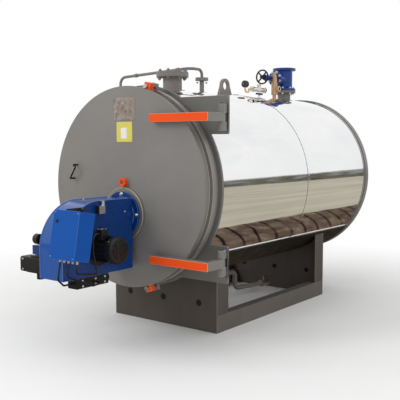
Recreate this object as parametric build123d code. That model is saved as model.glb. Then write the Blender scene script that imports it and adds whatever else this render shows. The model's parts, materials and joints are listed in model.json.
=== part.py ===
from build123d import *
import os
from math import cos, pi, radians, sin, sqrt

os.makedirs("parts", exist_ok=True)

# Horizontal fire-tube hot water boiler on a steel base, with a hinged front door that carries the burner.
# Lengths are millimetres. X runs to the hinge side, Y to the rear, Z up, and the floor is Z = 0.
# A depth is measured back from the front face of the door, and a rise up from the boiler's axis.

# Base frame
base_length = 1906
base_width = 1180
base_plate = 12
post_reach = 160
rail_height = 150
rail_flange = 90
anchor_hole_radius = 11
anchor_inset = 153
pipe_hole_radius = 25
pipe_hole_drop = 170
pipe_hole_spacing = 400

# Boiler body
axis_height = 1240
door_overhang = 478
shell_radius = 745
shell_wall = 12
cladding_radius = 830
cladding_sheet = 2
cladding_edge_angle = 41.5
skin_gap = 0.3
port_gap = 2
mat_count = 12
body_flange_radius = 826
body_flange_inner_radius = 760
body_flange_thickness = 45
body_groove_radius = 806
body_groove_width = 54
ear_plate_radius = 845
ear_plate_thickness = 20
tube_sheet_depth = 300
tube_sheet_thickness = 18
body_end_depth = 2858
smoke_box_length = 198
end_trim_radius = 845
end_trim_width = 58
seam_depth = 1612
seam_band_width = 36
edge_band_width = 14
band_thickness = 2
lip_width = 20
lip_thickness = 5

# Furnace and smoke tubes
burner_drop = 216
furnace_radius = 330
furnace_wall = 12
furnace_end_gap = 240
furnace_end_thickness = 20
smoke_tube_radius = 38
smoke_tube_wall = 4
smoke_tube_seat = 0.3
tube_row_radius = 430
tube_row_step = 110
tube_row_counts = (13, 11)
tube_row_angles = (210, 140)

# Door
door_radius = 828
door_sheet = 14
door_edge_round = 3
door_drum_radius = 800
door_drum_wall = 8
door_drum_depth = 95
gasket_outer_radius = 795
gasket_width = 28
gasket_thickness = 10
door_seat_gap = 0.3
lining_radius = 735
lining_thickness = 120
throat_gap = 1

# Hinges
pin_x = 872
pin_depth = 150
pin_radius = 12
pin_head_radius = 19
pin_head_height = 8
pin_bore_gap = 0.05
knuckle_radius = 27.5
knuckle_gap = 0.3
barrel_length = 68
barrel_web = 26
bar_height = 65
bar_reach = 60
bar_left = 325
bar_rise = 560
bar_cover = 5
ear_reach = 895
ear_low = 433
ear_high = 730
ear_corner = 12

# Latches
latch_angle = 16
latch_width = 60
latch_depth = 50
latch_height = 80
latch_seat = 1
latch_corner = 8
latch_offset = 20
latch_bolt_radius = 10
latch_washer_radius = 17
latch_bolt_reach = 10
latch_lug_thickness = 20
latch_lug_margin = 30

# Things on the door's face
handle_x = -533
handle_rise = 163
handle_tip_reach = 35
handle_tip_rise = 12
handle_lean = 71
handle_height = 106
handle_reach = 55
handle_rod_radius = 8
handle_bend = 9
sight_radius = 36
sight_rise = 43
sight_reach = 40
sight_tube_radius = 27
sight_flange = 10
sight_bezel = 14
glass_radius = 19
glass_recess = 6
name_plate_width = 237
name_plate_height = 188
name_plate_rise = 643
notice_width = 174
notice_height = 163
notice_rise = 455
plate_sheet = 2

# Burner housing, flange and flame tube
collar_radius = 217
collar_thickness = 24
burner_flange_radius = 185
burner_flange_thickness = 18
neck_radius = 140
neck_length = 10
housing_width = 260
housing_top_rise = -75
housing_rim = 6
housing_rim_thickness = 5
scroll_radius = 365
fan_back = 378
scroll_drop = 208
blast_tube_radius = 110
blast_tube_wall = 6
blast_tube_end = 430
diffuser_recess = 30
diffuser_hub_radius = 34
diffuser_tilt = 35
diffuser_blade = 5
diffuser_blades = 8
blade_seat = 2

# Fan motor
motor_radius = 100
motor_fin_height = 10
motor_fin_thickness = 5
motor_fin_count = 20
motor_length = 160
motor_plate_radius = 135
motor_plate_thickness = 10
cowl_radius = 106
cowl_length = 55
cowl_round = 16
grille_grooves = (34, 52, 70)
grille_groove_width = 9
grille_groove_depth = 8
grille_ribs = 4
grille_rib_width = 8
terminal_box_length = 56
terminal_box_width = 60
terminal_box_height = 80
terminal_box_forward = 52

# Control box, glands and conduits
panel_width = 265
panel_depth = 150
panel_height = 350
panel_lean = 10.7
panel_lid = 22
panel_lid_lip = 3
panel_corner = 6
panel_side_gap = 8
panel_front = 900
panel_rise = -290
bracket_reach = 120
bracket_height = 160
bracket_drop = 60
bracket_sheet = 6
gland_count = 5
gland_radius = 11
gland_nut = 9
gland_cap_radius = 9
gland_length = 22
conduit_radius = 7
conduit_bend = 40
conduit_leads = (130, 95, 70)
conduit_hang = 90
conduit_swing = 120
motor_conduit_front = 190
motor_conduit_drop = 150
box_conduit_reach = 60
box_conduit_drop = 20
box_conduit_rise = 27

# Gas train, air intake and switches
gas_block_length = 202
gas_block_size = 120
gas_block_front = 700
gas_block_rise = -570
gas_block_corner = 12
gas_servo_length = 110
gas_servo_height = 14
gas_switch_radius = 30
gas_switch_height = 50
gas_flange_size = 118
gas_flange_thickness = 69
gas_flange_corner = 18
gas_bore_radius = 26
gas_bore_depth = 60
intake_length = 145
intake_width = 330
intake_front = 740
intake_top = -408
intake_shoulder = -416
intake_foot = -486
train_length = 320
train_width = 110
train_height = 80
train_front = 490
train_corner = 10
train_stub_radius = 30
train_stub = 34
air_switch_front = 740
air_switch_rise = -362
air_switch_radius = 40
air_switch_thickness = 45
air_switch_stub_radius = 12
air_switch_stub = 50
gas_gauge_front = 430
gas_gauge_rise = -140
gas_gauge_size = 62
gas_gauge_thickness = 44
gas_gauge_tube_radius = 17
gas_gauge_tube_height = 96
damper_front = 675
damper_rise = -130
damper_length = 150
damper_height = 36
damper_sheet = 6
damper_knob_radius = 12
damper_knob_reach = 34

# Nozzles and fittings on top
nozzle_depth = 615
nozzle_pipe_radius = 84
nozzle_wall = 6
nozzle_flange_radius = 142.5
nozzle_flange_thickness = 22
nozzle_top = 985
rosette_width = 26
rosette_sheet = 4
vent_gap = 428
vent_pipe_radius = 21
vent_pipe_wall = 4
vent_flange_radius = 60
vent_flange_thickness = 14
vent_flange_top = 968
vent_line_radius = 13.5
vent_line_wall = 2.5
vent_line_peak = 1042
vent_line_run_gap = 183
vent_line_side = 872
vent_line_side_rise = 1003
vent_line_bend = 70
vent_elbow_bend = 50
vent_line_foot = 120
clip_width = 24
clip_radius = 20
lug_gap = 367
lug_width = 215
lug_height = 157
lug_thickness = 25
lug_round = 70
lug_hole_radius = 40
lug_pad_length = 270
lug_pad_width = 80
plug_gap = 190
plug_radius = 33
plug_height = 14
gauge_gap = 170
gauge_rise = 958
gauge_radius = 36
gauge_thickness = 34
gauge_bezel = 5
siphon_radius = 9
siphon_bend = 25
siphon_rise = 880
siphon_reach = 56
manifold_gap = 120
manifold_reach = 140
manifold_length = 250
manifold_rise = 915
manifold_radius = 24
manifold_nut_radius = 32
manifold_nut_length = 22
manifold_stub_radius = 17
air_vent_radius = 20
air_vent_top = 972
lever_spindle_radius = 8
lever_length = 120
lever_width = 18
lever_thickness = 6
lever_rise = 868
lever_offset = 36
safety_gap = 205
safety_x = 62
safety_inlet_radius = 20
safety_foot = 870
safety_body_radius = 33
safety_body_height = 90
safety_bonnet_radius = 20
safety_bonnet_height = 122
safety_cap_radius = 14
safety_cap_height = 28
safety_outlet_rise = 932
safety_outlet_radius = 29
safety_outlet_bore = 17
safety_outlet_reach = 62

# Outlet nozzle, gate valve and handwheel
outlet_gap = 305
outlet_pipe_radius = 70
outlet_wall = 6
outlet_flange_radius = 125
outlet_flange_thickness = 24
outlet_flange_top = 931
outlet_valve_height = 244
outlet_body_radius = 90
outlet_neck_radius = 76
outlet_neck = 14
outlet_bore_radius = 62.5
outlet_bolt_circle = 105
outlet_bolts = 8
outlet_hole_radius = 9
bonnet_neck_radius = 64
bonnet_neck = 165
bonnet_flange_radius = 80
bonnet_flange_thickness = 17
bonnet_joint = 3
bonnet_joint_radius = 74
bonnet_dome_radius = 56
bonnet_dome_end = 285
spindle_radius = 30
wheel_offset = 450
wheel_radius = 78
wheel_rim_radius = 8
wheel_spoke_width = 14
wheel_spoke_depth = 9
wheel_hub_radius = 20
wheel_hub_length = 28
stem_radius = 11
stem_gap = 0.05
stem_length = 85
stem_end_gap = 1
bonnet_gap = 36

# Rear end
flue_radius = 200
flue_wall = 5
flue_length = 150
flue_rise = 250
flue_flange_radius = 240
flue_flange_thickness = 10
flue_bolt_circle = 220
flue_bolts = 8
flue_hole_radius = 7
cleanout_radius = 170
cleanout_drop = 330
cleanout_thickness = 14
cleanout_grip_length = 120
cleanout_grip_reach = 40
cleanout_grip_radius = 7

# Drain
drain_depth = 1330
drain_radius = 24
drain_run_drop = 945
drain_run = 270
drain_drop = 1120
drain_side = 75
drain_end_gap = 372
drain_bend = 55
drain_valve_length = 90
drain_valve_radius = 36
drain_stem_radius = 9
drain_stem_rise = 20
drain_lever_length = 150

# Places worked out from the sizes above
front_plate_y = -base_length / 2
door_face = front_plate_y - door_overhang
drum_back = door_face + door_drum_depth
flange_face = drum_back + gasket_thickness + door_seat_gap
groove_front = flange_face + body_flange_thickness
ear_face = groove_front + body_groove_width
ear_back = ear_face + ear_plate_thickness
body_end = door_face + body_end_depth
tube_sheet_face = door_face + tube_sheet_depth
tube_sheet_back = tube_sheet_face + tube_sheet_thickness
rear_sheet_face = body_end - smoke_box_length
rear_sheet_back = rear_sheet_face + tube_sheet_thickness
furnace_end = rear_sheet_face - furnace_end_gap
seam_y = door_face + seam_depth
insulation_radius = cladding_radius - cladding_sheet - skin_gap
burner_z = axis_height - burner_drop
pin_y = door_face + pin_depth
anchor_spacing_x = base_width - rail_flange - base_plate
anchor_spacing_y = base_length - 2 * anchor_inset
pipe_hole_height = axis_height - cladding_radius - pipe_hole_drop
collar_front = door_face - collar_thickness
burner_flange_front = collar_front - burner_flange_thickness
housing_side = housing_width / 2
housing_back = burner_flange_front - neck_length
fan_y = housing_back - fan_back
fan_z = axis_height + housing_top_rise - scroll_radius
housing_foot = fan_z - scroll_drop
valve_low = axis_height + outlet_flange_top
valve_high = valve_low + outlet_valve_height
valve_mid = (valve_low + valve_high) / 2
flue_z = axis_height + flue_rise
lug_eye_z = axis_height + cladding_radius + lug_height - lug_round
gas_y = door_face - gas_block_front
gas_z = axis_height + gas_block_rise
gas_left = -housing_side - gas_block_length
vent_depth = nozzle_depth + vent_gap
lug_depth = vent_depth + lug_gap
plug_depth = lug_depth + plug_gap
gauge_depth = plug_depth + gauge_gap
manifold_depth = gauge_depth + manifold_gap + manifold_reach
safety_depth = manifold_depth + safety_gap
outlet_depth = safety_depth + outlet_gap
nozzle_joint = nozzle_top - nozzle_flange_thickness
vent_joint = vent_flange_top - vent_flange_thickness
outlet_y = door_face + outlet_depth
wheel_y = outlet_y - wheel_offset
top_ports = (
    (0, nozzle_depth, nozzle_pipe_radius),
    (0, vent_depth, vent_pipe_radius),
    (0, manifold_depth, manifold_stub_radius),
    (safety_x, safety_depth, safety_inlet_radius),
    (0, outlet_depth, outlet_pipe_radius),
)


def block(x0, x1, y0, y1, z0, z1):
    return Pos((x0 + x1) / 2, (y0 + y1) / 2, (z0 + z1) / 2) * Box(x1 - x0, y1 - y0, z1 - z0)


def rod_x(radius, x0, x1, y, z):
    return Pos((x0 + x1) / 2, y, z) * Rot(0, 90, 0) * Cylinder(radius, x1 - x0)


def rod_y(radius, y0, y1, x=0, z=axis_height):
    return Pos(x, (y0 + y1) / 2, z) * Rot(-90, 0, 0) * Cylinder(radius, y1 - y0)


def rod_z(radius, z0, z1, x, y):
    return Pos(x, y, (z0 + z1) / 2) * Cylinder(radius, z1 - z0)


def ring_y(outer, inner, y0, y1, x=0, z=axis_height):
    return rod_y(outer, y0, y1, x, z) - rod_y(inner, y0, y1, x, z)


def sector_y(radius, y0, y1, low, high):
    """Slice of a round bar on the boiler's axis, between two angles from +X towards +Z."""
    slice_bar = Cylinder(radius, y1 - y0, arc_size=high - low, align=None)
    return Pos(0, y0, axis_height) * Rot(-90, 0, 0) * Rot(0, 0, -high) * slice_bar


def ring_sector(outer, inner, y0, y1, low, high):
    return sector_y(outer, y0, y1, low, high) - rod_y(inner, y0, y1)


def turned(points):
    """Round piece about the Z axis, from its half outline as (radius, height) points."""
    return revolve(Plane.XZ * make_face(Polyline(*points, close=True)), Axis.Z)


def tube(points, bends, radius, bore=0):
    """Round bar or pipe along straight runs joined by arcs."""
    path = FilletPolyline(*points, radius=bends)
    section = Circle(radius) - Circle(bore) if bore else Circle(radius)
    return sweep(Plane(origin=path @ 0, z_dir=path % 0) * section, path=path)


def base_end_plate(y0):
    """Full-width plate under the body, with a row of pipe holes and a round seat."""
    plate = block(-base_width / 2, base_width / 2, y0, y0 + base_plate, 0, axis_height)
    plate -= rod_y(cladding_radius + skin_gap, y0, y0 + base_plate)
    for step in (-1, 0, 1):
        plate -= rod_y(pipe_hole_radius, y0, y0 + base_plate, step * pipe_hole_spacing, pipe_hole_height)
    return plate.solids().sort_by(Axis.Z)[0]


def base_rail(side):
    """Upright web along one side, with an inward flange at the top and one at the floor."""
    outer = side * base_width / 2
    web = sorted((outer, outer - side * base_plate))
    flange = sorted((outer, outer - side * rail_flange))
    y0 = front_plate_y + base_plate
    rail = block(web[0], web[1], y0, -y0, 0, rail_height)
    rail += block(flange[0], flange[1], y0, -y0, rail_height - base_plate, rail_height)
    rail += block(flange[0], flange[1], y0, -y0, 0, base_plate)
    for end in (-1, 1):
        rail -= rod_z(anchor_hole_radius, 0, base_plate, side * anchor_spacing_x / 2, end * anchor_spacing_y / 2)
    return rail


def corner_post(side, end):
    """Upright side plate at one corner, from the rail up to the body."""
    xs = sorted((side * base_width / 2, side * (base_width / 2 - base_plate)))
    inner = base_length / 2 - base_plate
    ys = sorted((end * inner, end * (inner - post_reach)))
    post = block(xs[0], xs[1], ys[0], ys[1], rail_height, axis_height)
    post -= rod_y(cladding_radius + skin_gap, ys[0], ys[1])
    return post.solids().sort_by(Axis.Z)[0]


def with_ports(sleeve, y0, y1, clearance):
    """Round sleeve with holes for the nozzles and the drain that pass through it."""
    reach = 2 * cladding_radius
    for x, depth, radius in top_ports:
        y = door_face + depth
        if y0 < y < y1:
            sleeve -= rod_z(radius + clearance, axis_height, axis_height + reach, x, y)
    y = door_face + drain_depth
    if y0 < y < y1:
        sleeve -= rod_z(drain_radius + clearance, axis_height - reach, axis_height, 0, y)
    return sleeve


def tube_places():
    """Centres of the smoke tubes, in two arcs over the furnace."""
    places = []
    for row, count in enumerate(tube_row_counts):
        radius = tube_row_radius + row * tube_row_step
        span = tube_row_angles[row]
        for i in range(count):
            angle = radians(90 - span / 2 + span * i / (count - 1))
            places.append((radius * cos(angle), burner_z + radius * sin(angle)))
    return places


def tube_sheet(y0, y1, furnace_hole):
    sheet = rod_y(shell_radius - shell_wall - skin_gap, y0, y1)
    if furnace_hole:
        sheet -= rod_y(furnace_radius + skin_gap, y0, y1, 0, burner_z)
    for x, z in tube_places():
        sheet -= rod_y(smoke_tube_radius + smoke_tube_seat, y0, y1, x, z)
    return sheet


def smoke_tube(x, z):
    bore = smoke_tube_radius - smoke_tube_wall
    return ring_y(smoke_tube_radius, bore, tube_sheet_face, rear_sheet_back, x, z)


def insulation_mats():
    """Mineral wool mats side by side round the shell."""
    sleeve = ring_y(insulation_radius, shell_radius + skin_gap, ear_back, body_end)
    sleeve = with_ports(sleeve, ear_back, body_end, port_gap)
    step = 360 / mat_count
    mats = []
    for i in range(mat_count):
        low = 90 + (i - 0.5) * step
        mats += (sleeve & sector_y(cladding_radius, ear_back, body_end, low, low + step)).solids()
    return Compound(mats)


def cladding_length(y0, y1):
    """Mirror sheet over the top and sides, open below its two lower edges."""
    sheet = ring_sector(cladding_radius, cladding_radius - cladding_sheet, y0, y1,
                        -cladding_edge_angle, 180 + cladding_edge_angle)
    return with_ports(sheet, y0, y1, port_gap)


def belly_sheet():
    """Painted sheet that closes the insulation below the mirror sheet's lower edges."""
    sheet = ring_sector(cladding_radius, cladding_radius - cladding_sheet, ear_back, body_end,
                        180 + cladding_edge_angle, 360 - cladding_edge_angle)
    return with_ports(sheet, ear_back, body_end, port_gap)


def cladding_trim():
    """Strip along each lower edge of the mirror sheet, joined by bands at both ends and over the seam."""
    lip_angle = 180 * lip_width / (pi * cladding_radius)
    low = -cladding_edge_angle
    high = 180 + cladding_edge_angle
    lip = cladding_radius + lip_thickness
    trim = ring_sector(lip, cladding_radius, ear_back, body_end, low, low + lip_angle)
    trim += ring_sector(lip, cladding_radius, ear_back, body_end, high - lip_angle, high)
    bands = (
        (ear_back, ear_back + edge_band_width),
        (seam_y - seam_band_width / 2, seam_y + seam_band_width / 2),
        (body_end - edge_band_width, body_end),
    )
    for y0, y1 in bands:
        trim += ring_sector(cladding_radius + band_thickness, cladding_radius, y0, y1, low, high)
    return trim


def rosette(depth, pipe_radius, x=0):
    """Round sheet that lies on the cladding about a pipe."""
    y = door_face + depth
    reach = pipe_radius + rosette_width
    seat = cladding_radius + skin_gap
    sleeve = ring_y(seat + rosette_sheet, seat, y - reach, y + reach)
    return sleeve & rod_z(reach, axis_height, axis_height + 2 * cladding_radius, x, y)


def stub_foot(radius, x=0):
    """Height where an upright pipe meets the shell."""
    return axis_height + sqrt(shell_radius ** 2 - (abs(x) - radius) ** 2) + skin_gap


def nozzle(depth, pipe_radius, wall, flange_radius, flange_thickness, top):
    """Pipe that stands on the shell, with a rosette on the cladding and a round flange."""
    y = door_face + depth
    low = stub_foot(pipe_radius)
    high = axis_height + top
    pipe = rod_z(pipe_radius, low, high, 0, y)
    pipe += rod_z(flange_radius, high - flange_thickness, high, 0, y)
    pipe += rosette(depth, pipe_radius)
    return pipe - rod_z(pipe_radius - wall, low, high, 0, y)


def ear_plate():
    """Round front plate with two square ears on the hinge side."""
    plate = rod_y(ear_plate_radius, ear_face, ear_back)
    for side in (-1, 1):
        zs = sorted((axis_height + side * ear_low, axis_height + side * ear_high))
        ear = block(0, ear_reach, ear_face, ear_back, zs[0], zs[1])
        corners = ear.edges().filter_by(Axis.Y).group_by(Axis.X)[-1]
        plate += fillet(corners, ear_corner)
    return plate - rod_y(body_flange_inner_radius, ear_face, ear_back)


def hinge_heights():
    return (axis_height - bar_rise, axis_height + bar_rise)


def hinge_barrels(z):
    """Two fixed barrels on webs from the ear plate, one above and one below the door's knuckle."""
    barrels = []
    for side in (-1, 1):
        near = z + side * (bar_height / 2 + knuckle_gap)
        low, high = sorted((near, near + side * barrel_length))
        barrel = rod_z(knuckle_radius, low, high, pin_x, pin_y)
        barrel += block(pin_x - barrel_web / 2, pin_x + barrel_web / 2, pin_y, ear_face, low, high)
        barrels.append(barrel - rod_z(pin_radius + pin_bore_gap, low, high, pin_x, pin_y))
    return barrels


def hinge_pin(z):
    reach = bar_height / 2 + knuckle_gap + barrel_length
    pin = rod_z(pin_radius, z - reach, z + reach, pin_x, pin_y)
    return pin + rod_z(pin_head_radius, z + reach, z + reach + pin_head_height, pin_x, pin_y)


def hinge_arm(z):
    """Bar across the door's face that turns back to a knuckle on the pin."""
    low, high = z - bar_height / 2, z + bar_height / 2
    right = pin_x + knuckle_radius
    arm = block(bar_left, right, door_face - bar_reach, door_face, low, high)
    arm += block(pin_x - knuckle_radius, right, door_face - bar_reach, pin_y, low, high)
    arm += rod_z(knuckle_radius, low, high, pin_x, pin_y)
    return arm - rod_z(pin_radius + pin_bore_gap, low, high, pin_x, pin_y)


def arm_cover(z):
    front = door_face - bar_reach
    return block(bar_left, pin_x + knuckle_radius, front - bar_cover, front, z - bar_height / 2, z + bar_height / 2)


def latch_turned(shape, side):
    """Turns a shape from the vertical to the latch's place on the rim, towards the hinges."""
    return Pos(0, 0, axis_height) * Rot(0, side * latch_angle, 0) * Pos(0, 0, -axis_height) * shape


def latch_bolt_z(side):
    return axis_height + side * (door_radius + latch_offset)


def latch_block(side):
    """Painted clamp block on the door's rim."""
    edge = axis_height + side * (door_drum_radius - latch_seat)
    zs = sorted((edge, edge + side * latch_height))
    front = door_face + door_sheet
    body = block(-latch_width / 2, latch_width / 2, front, front + latch_depth, zs[0], zs[1])
    rims = body.edges().filter_by(Axis.Y).sort_by(Axis.Z)
    body = fillet(rims[-2:] if side > 0 else rims[:2], latch_corner)
    body -= rod_y(door_drum_radius, door_face, drum_back)
    return body - rod_y(latch_bolt_radius, door_face, flange_face, 0, latch_bolt_z(side))


def latch_bolt(side):
    z = latch_bolt_z(side)
    head = door_face - latch_bolt_reach
    bolt = rod_y(latch_bolt_radius, head, flange_face - skin_gap, 0, z)
    return bolt + rod_y(latch_washer_radius, head, door_face + door_sheet - skin_gap, 0, z)


def latch_lug(side):
    """Lug that stands on the body flange behind the latch bolt."""
    inner = axis_height + side * (body_flange_radius - latch_lug_thickness)
    zs = sorted((inner, latch_bolt_z(side) + side * latch_lug_margin))
    back = flange_face + latch_lug_thickness
    lug = block(-latch_width / 2, latch_width / 2, flange_face, back, zs[0], zs[1])
    return lug - rod_y(body_flange_radius + skin_gap, flange_face, back)


def door_handle():
    """Leaning grab handle with a short hook at its top, bent from one round bar."""
    front = door_face - handle_reach
    bend_z = axis_height + handle_rise
    tip_x = handle_x - handle_tip_reach
    tip_z = bend_z + handle_tip_rise
    low_x = handle_x - handle_lean
    low_z = bend_z - handle_height
    points = ((low_x, door_face, low_z), (low_x, front, low_z), (handle_x, front, bend_z), (tip_x, front, tip_z),
              (tip_x, door_face, tip_z))
    return tube(points, handle_bend, handle_rod_radius)


def sight_glass():
    """Flanged peep hole with a bezel round its glass."""
    outline = (
        (0, 0), (sight_radius, 0), (sight_radius, sight_flange), (sight_tube_radius, sight_flange),
        (sight_tube_radius, sight_reach - sight_bezel), (sight_radius, sight_reach - sight_bezel),
        (sight_radius, sight_reach), (glass_radius, sight_reach), (glass_radius, sight_reach - glass_recess),
        (0, sight_reach - glass_recess),
    )
    return Pos(0, door_face, axis_height + sight_rise) * Rot(90, 0, 0) * turned(outline)


def door_sign(width, height, rise):
    z = axis_height + rise
    return block(-width / 2, width / 2, door_face - plate_sheet, door_face, z - height / 2, z + height / 2)


def scroll_outline(rim):
    """Side view of the fan scroll, drawn in by the rim along its round front and its top."""
    radius = scroll_radius - rim
    with BuildSketch(Plane.YZ) as outline:
        with BuildLine():
            Polyline((fan_y, fan_z + radius), (housing_back, fan_z + radius), (housing_back, housing_foot),
                     (fan_y - radius, housing_foot), (fan_y - radius, fan_z))
            RadiusArc((fan_y - radius, fan_z), (fan_y, fan_z + radius), radius)
        make_face()
    return outline.sketch


def burner_housing():
    """Fan scroll: a wide band between two side plates that stand proud of it as rims."""
    half = housing_rim_thickness / 2
    body = extrude(scroll_outline(housing_rim), amount=housing_side - half, both=True)
    for side in (-1, 1):
        body += Pos(side * (housing_side - half), 0, 0) * extrude(scroll_outline(0), amount=half, both=True)
    return body


def blast_tube():
    """Flame tube with tilted swirl blades round a hub at its mouth."""
    end = door_face + blast_tube_end
    bore = blast_tube_radius - blast_tube_wall
    body = rod_y(blast_tube_radius, housing_back, end, 0, burner_z)
    body -= rod_y(bore, end - diffuser_recess, end, 0, burner_z)
    body += rod_y(diffuser_hub_radius, end - diffuser_recess, end - diffuser_blade, 0, burner_z)
    middle = Pos(0, end - (diffuser_recess + diffuser_blade) / 2, burner_z)
    reach = bore - diffuser_hub_radius + blade_seat
    blade = Box(reach, diffuser_recess - 2 * diffuser_blade, diffuser_blade)
    for i in range(diffuser_blades):
        turn = Rot(0, 360 * i / diffuser_blades, 0)
        body += middle * turn * Pos(bore - reach / 2, 0, 0) * Rot(diffuser_tilt, 0, 0) * blade
    return body


def fan_motor():
    """Finned motor on its round mounting plate, with a terminal box on its top."""
    core = motor_radius - motor_fin_height
    middle = motor_plate_thickness + motor_length / 2
    body = Pos(0, 0, motor_plate_thickness / 2) * Cylinder(motor_plate_radius, motor_plate_thickness)
    body += Pos(0, 0, middle) * Cylinder(core, motor_length)
    fin = Pos(core, 0, middle) * Box(2 * motor_fin_height, motor_fin_thickness, motor_length)
    for i in range(motor_fin_count):
        body += Rot(0, 0, 360 * (i + 0.5) / motor_fin_count) * fin
    body = Pos(housing_side, fan_y, fan_z) * Rot(0, 90, 0) * body
    x = housing_side + middle
    y = fan_y - terminal_box_forward
    z = fan_z + core - motor_fin_height
    box = block(x - terminal_box_length / 2, x + terminal_box_length / 2, y - terminal_box_width / 2,
                y + terminal_box_width / 2, z, z + terminal_box_height)
    return body + fillet(box.edges().filter_by(Axis.Z), panel_corner)


def motor_cowl():
    """Fan cowl with a rounded rim and a ribbed ring grille on its end."""
    cowl = Cylinder(cowl_radius, cowl_length, align=(Align.CENTER, Align.CENTER, Align.MIN))
    cowl = fillet(cowl.edges().sort_by(Axis.Z)[-1], cowl_round)
    middle = cowl_length - grille_groove_depth / 2
    for radius in grille_grooves:
        groove = Cylinder(radius + grille_groove_width / 2, grille_groove_depth)
        groove -= Cylinder(radius - grille_groove_width / 2, grille_groove_depth)
        cowl -= Pos(0, 0, middle) * groove
    rib = Pos(0, 0, middle) * Box(2 * (grille_grooves[-1] + grille_groove_width), grille_rib_width, grille_groove_depth)
    for i in range(grille_ribs):
        cowl += Rot(0, 0, 180 * (i + 0.5) / grille_ribs) * rib
    return Pos(housing_side + motor_plate_thickness + motor_length, fan_y, fan_z) * Rot(0, 90, 0) * cowl


def panel_place():
    """Frame of the leaning control box, at the middle of the box."""
    x = housing_side + panel_side_gap + panel_width / 2
    return Pos(x, door_face - panel_front + panel_depth / 2, axis_height + panel_rise) * Rot(-panel_lean, 0, 0)


def control_box():
    """Sheet metal box with a lid that laps over its front."""
    body = Pos(0, panel_lid / 2, 0) * Box(
        panel_width - 2 * panel_lid_lip, panel_depth - panel_lid, panel_height - 2 * panel_lid_lip)
    lid = Pos(0, (panel_lid - panel_depth) / 2, 0) * Box(panel_width, panel_lid, panel_height)
    return panel_place() * (body + fillet(lid.edges().filter_by(Axis.Y), panel_corner))


def panel_bracket():
    """Flat plate behind the control box, welded by its edge to the side of the housing."""
    width = panel_side_gap + bracket_reach
    x = -panel_width / 2 - panel_side_gap + width / 2
    plate = Box(width, bracket_sheet, bracket_height)
    return panel_place() * Pos(x, (panel_depth + bracket_sheet) / 2, -bracket_drop) * plate


def gland_place(index, drop=0):
    """Frame on a gland's centre line, at a distance below the box."""
    x = (index - (gland_count - 1) / 2) * panel_width / (gland_count + 1)
    return panel_place() * Pos(x, 0, panel_lid_lip - panel_height / 2 - drop)


def cable_gland(index):
    """Hexagon nut against the box and a round cap below it."""
    nut = extrude(RegularPolygon(gland_radius, 6), amount=-gland_nut)
    cap = Pos(0, 0, -(gland_nut + gland_length) / 2) * Cylinder(gland_cap_radius, gland_length - gland_nut)
    return gland_place(index) * (nut + cap)


def conduit(index, straight, points):
    """Flexible conduit that leaves a gland straight and then follows its points."""
    start = gland_place(index, gland_length).position
    lead = gland_place(index, gland_length + straight).position
    return tube((tuple(start), tuple(lead)) + points, conduit_bend, conduit_radius)


def burner_conduits():
    """Short conduits from the glands to the motor's terminal box and to the gas train under the housing."""
    middle_x = housing_side - train_width / 2
    side_y = door_face - train_front
    front_y = side_y - train_length / 2
    train_z = housing_foot - train_height / 2
    to_front = conduit(0, conduit_leads[0], ((middle_x, front_y - conduit_hang, train_z), (middle_x, front_y, train_z)))
    to_side = conduit(2, conduit_leads[1], (
        (housing_side + conduit_swing, side_y - conduit_swing, train_z), (housing_side + conduit_hang, side_y, train_z),
        (housing_side, side_y, train_z)))
    box_x = housing_side + motor_plate_thickness + motor_length / 2
    box_y = fan_y - terminal_box_forward - terminal_box_width / 2
    box_z = fan_z + motor_radius + box_conduit_rise
    to_motor = conduit(4, conduit_leads[2], (
        (box_x + conduit_hang, fan_y - motor_conduit_front, fan_z - motor_conduit_drop),
        (box_x, box_y - box_conduit_reach, fan_z - box_conduit_drop), (box_x, box_y - box_conduit_reach, box_z),
        (box_x, box_y, box_z)))
    return Compound([to_front, to_side, to_motor])


def gas_valve():
    """Gas valve body with a servo on top, a pressure switch below and a thick square end flange."""
    half = gas_block_size / 2
    body = block(gas_left, -housing_side, gas_y - half, gas_y + half, gas_z - half, gas_z + half)
    body = fillet(body.edges().filter_by(Axis.X), gas_block_corner)
    end = gas_left - gas_flange_thickness
    side = gas_flange_size / 2
    flange = block(end, gas_left, gas_y - side, gas_y + side, gas_z - side, gas_z + side)
    body += fillet(flange.edges().filter_by(Axis.X), gas_flange_corner)
    x = gas_left + gas_block_length / 2
    reach = gas_servo_length / 2
    servo = block(x - reach, x + reach, gas_y - reach, gas_y + half - gas_block_corner, gas_z, gas_z + half + gas_servo_height)
    body += fillet(servo.edges().filter_by(Axis.Z), gas_block_corner)
    body += rod_z(gas_switch_radius, gas_z - half - gas_switch_height, gas_z, x, gas_y)
    return body - rod_x(gas_bore_radius, end, gas_left + gas_bore_depth, gas_y, gas_z)


def air_intake():
    """Hood over the air inlet, lower at its outer edge."""
    outer = -housing_side - intake_length
    with BuildSketch(Plane.XZ) as outline:
        with BuildLine():
            Polyline((-housing_side, axis_height + intake_top), (-housing_side, axis_height + intake_foot),
                     (outer, axis_height + intake_foot), (outer, axis_height + intake_shoulder),
                     (-housing_side, axis_height + intake_top))
        make_face()
    return Pos(0, door_face - intake_front, 0) * extrude(outline.sketch, amount=-intake_width)


def gas_train():
    """Valve block under the housing, with a round pipe stub towards the door."""
    y = door_face - train_front
    back = y + train_length / 2
    low = housing_foot - train_height
    body = block(housing_side - train_width, housing_side, y - train_length / 2, back, low, housing_foot)
    body = fillet(body.edges().filter_by(Axis.Y).sort_by(Axis.Z)[:2], train_corner)
    x = housing_side - train_width / 2
    return body + rod_y(train_stub_radius, back, back + train_stub, x, low + train_height / 2)


def air_switch():
    """Round air pressure switch on a stub from the left side of the housing."""
    y = door_face - air_switch_front
    z = axis_height + air_switch_rise
    left = -housing_side - air_switch_stub
    switch = rod_x(air_switch_stub_radius, left, -housing_side, y, z)
    return switch + rod_x(air_switch_radius, left - air_switch_thickness, left, y, z)


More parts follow.
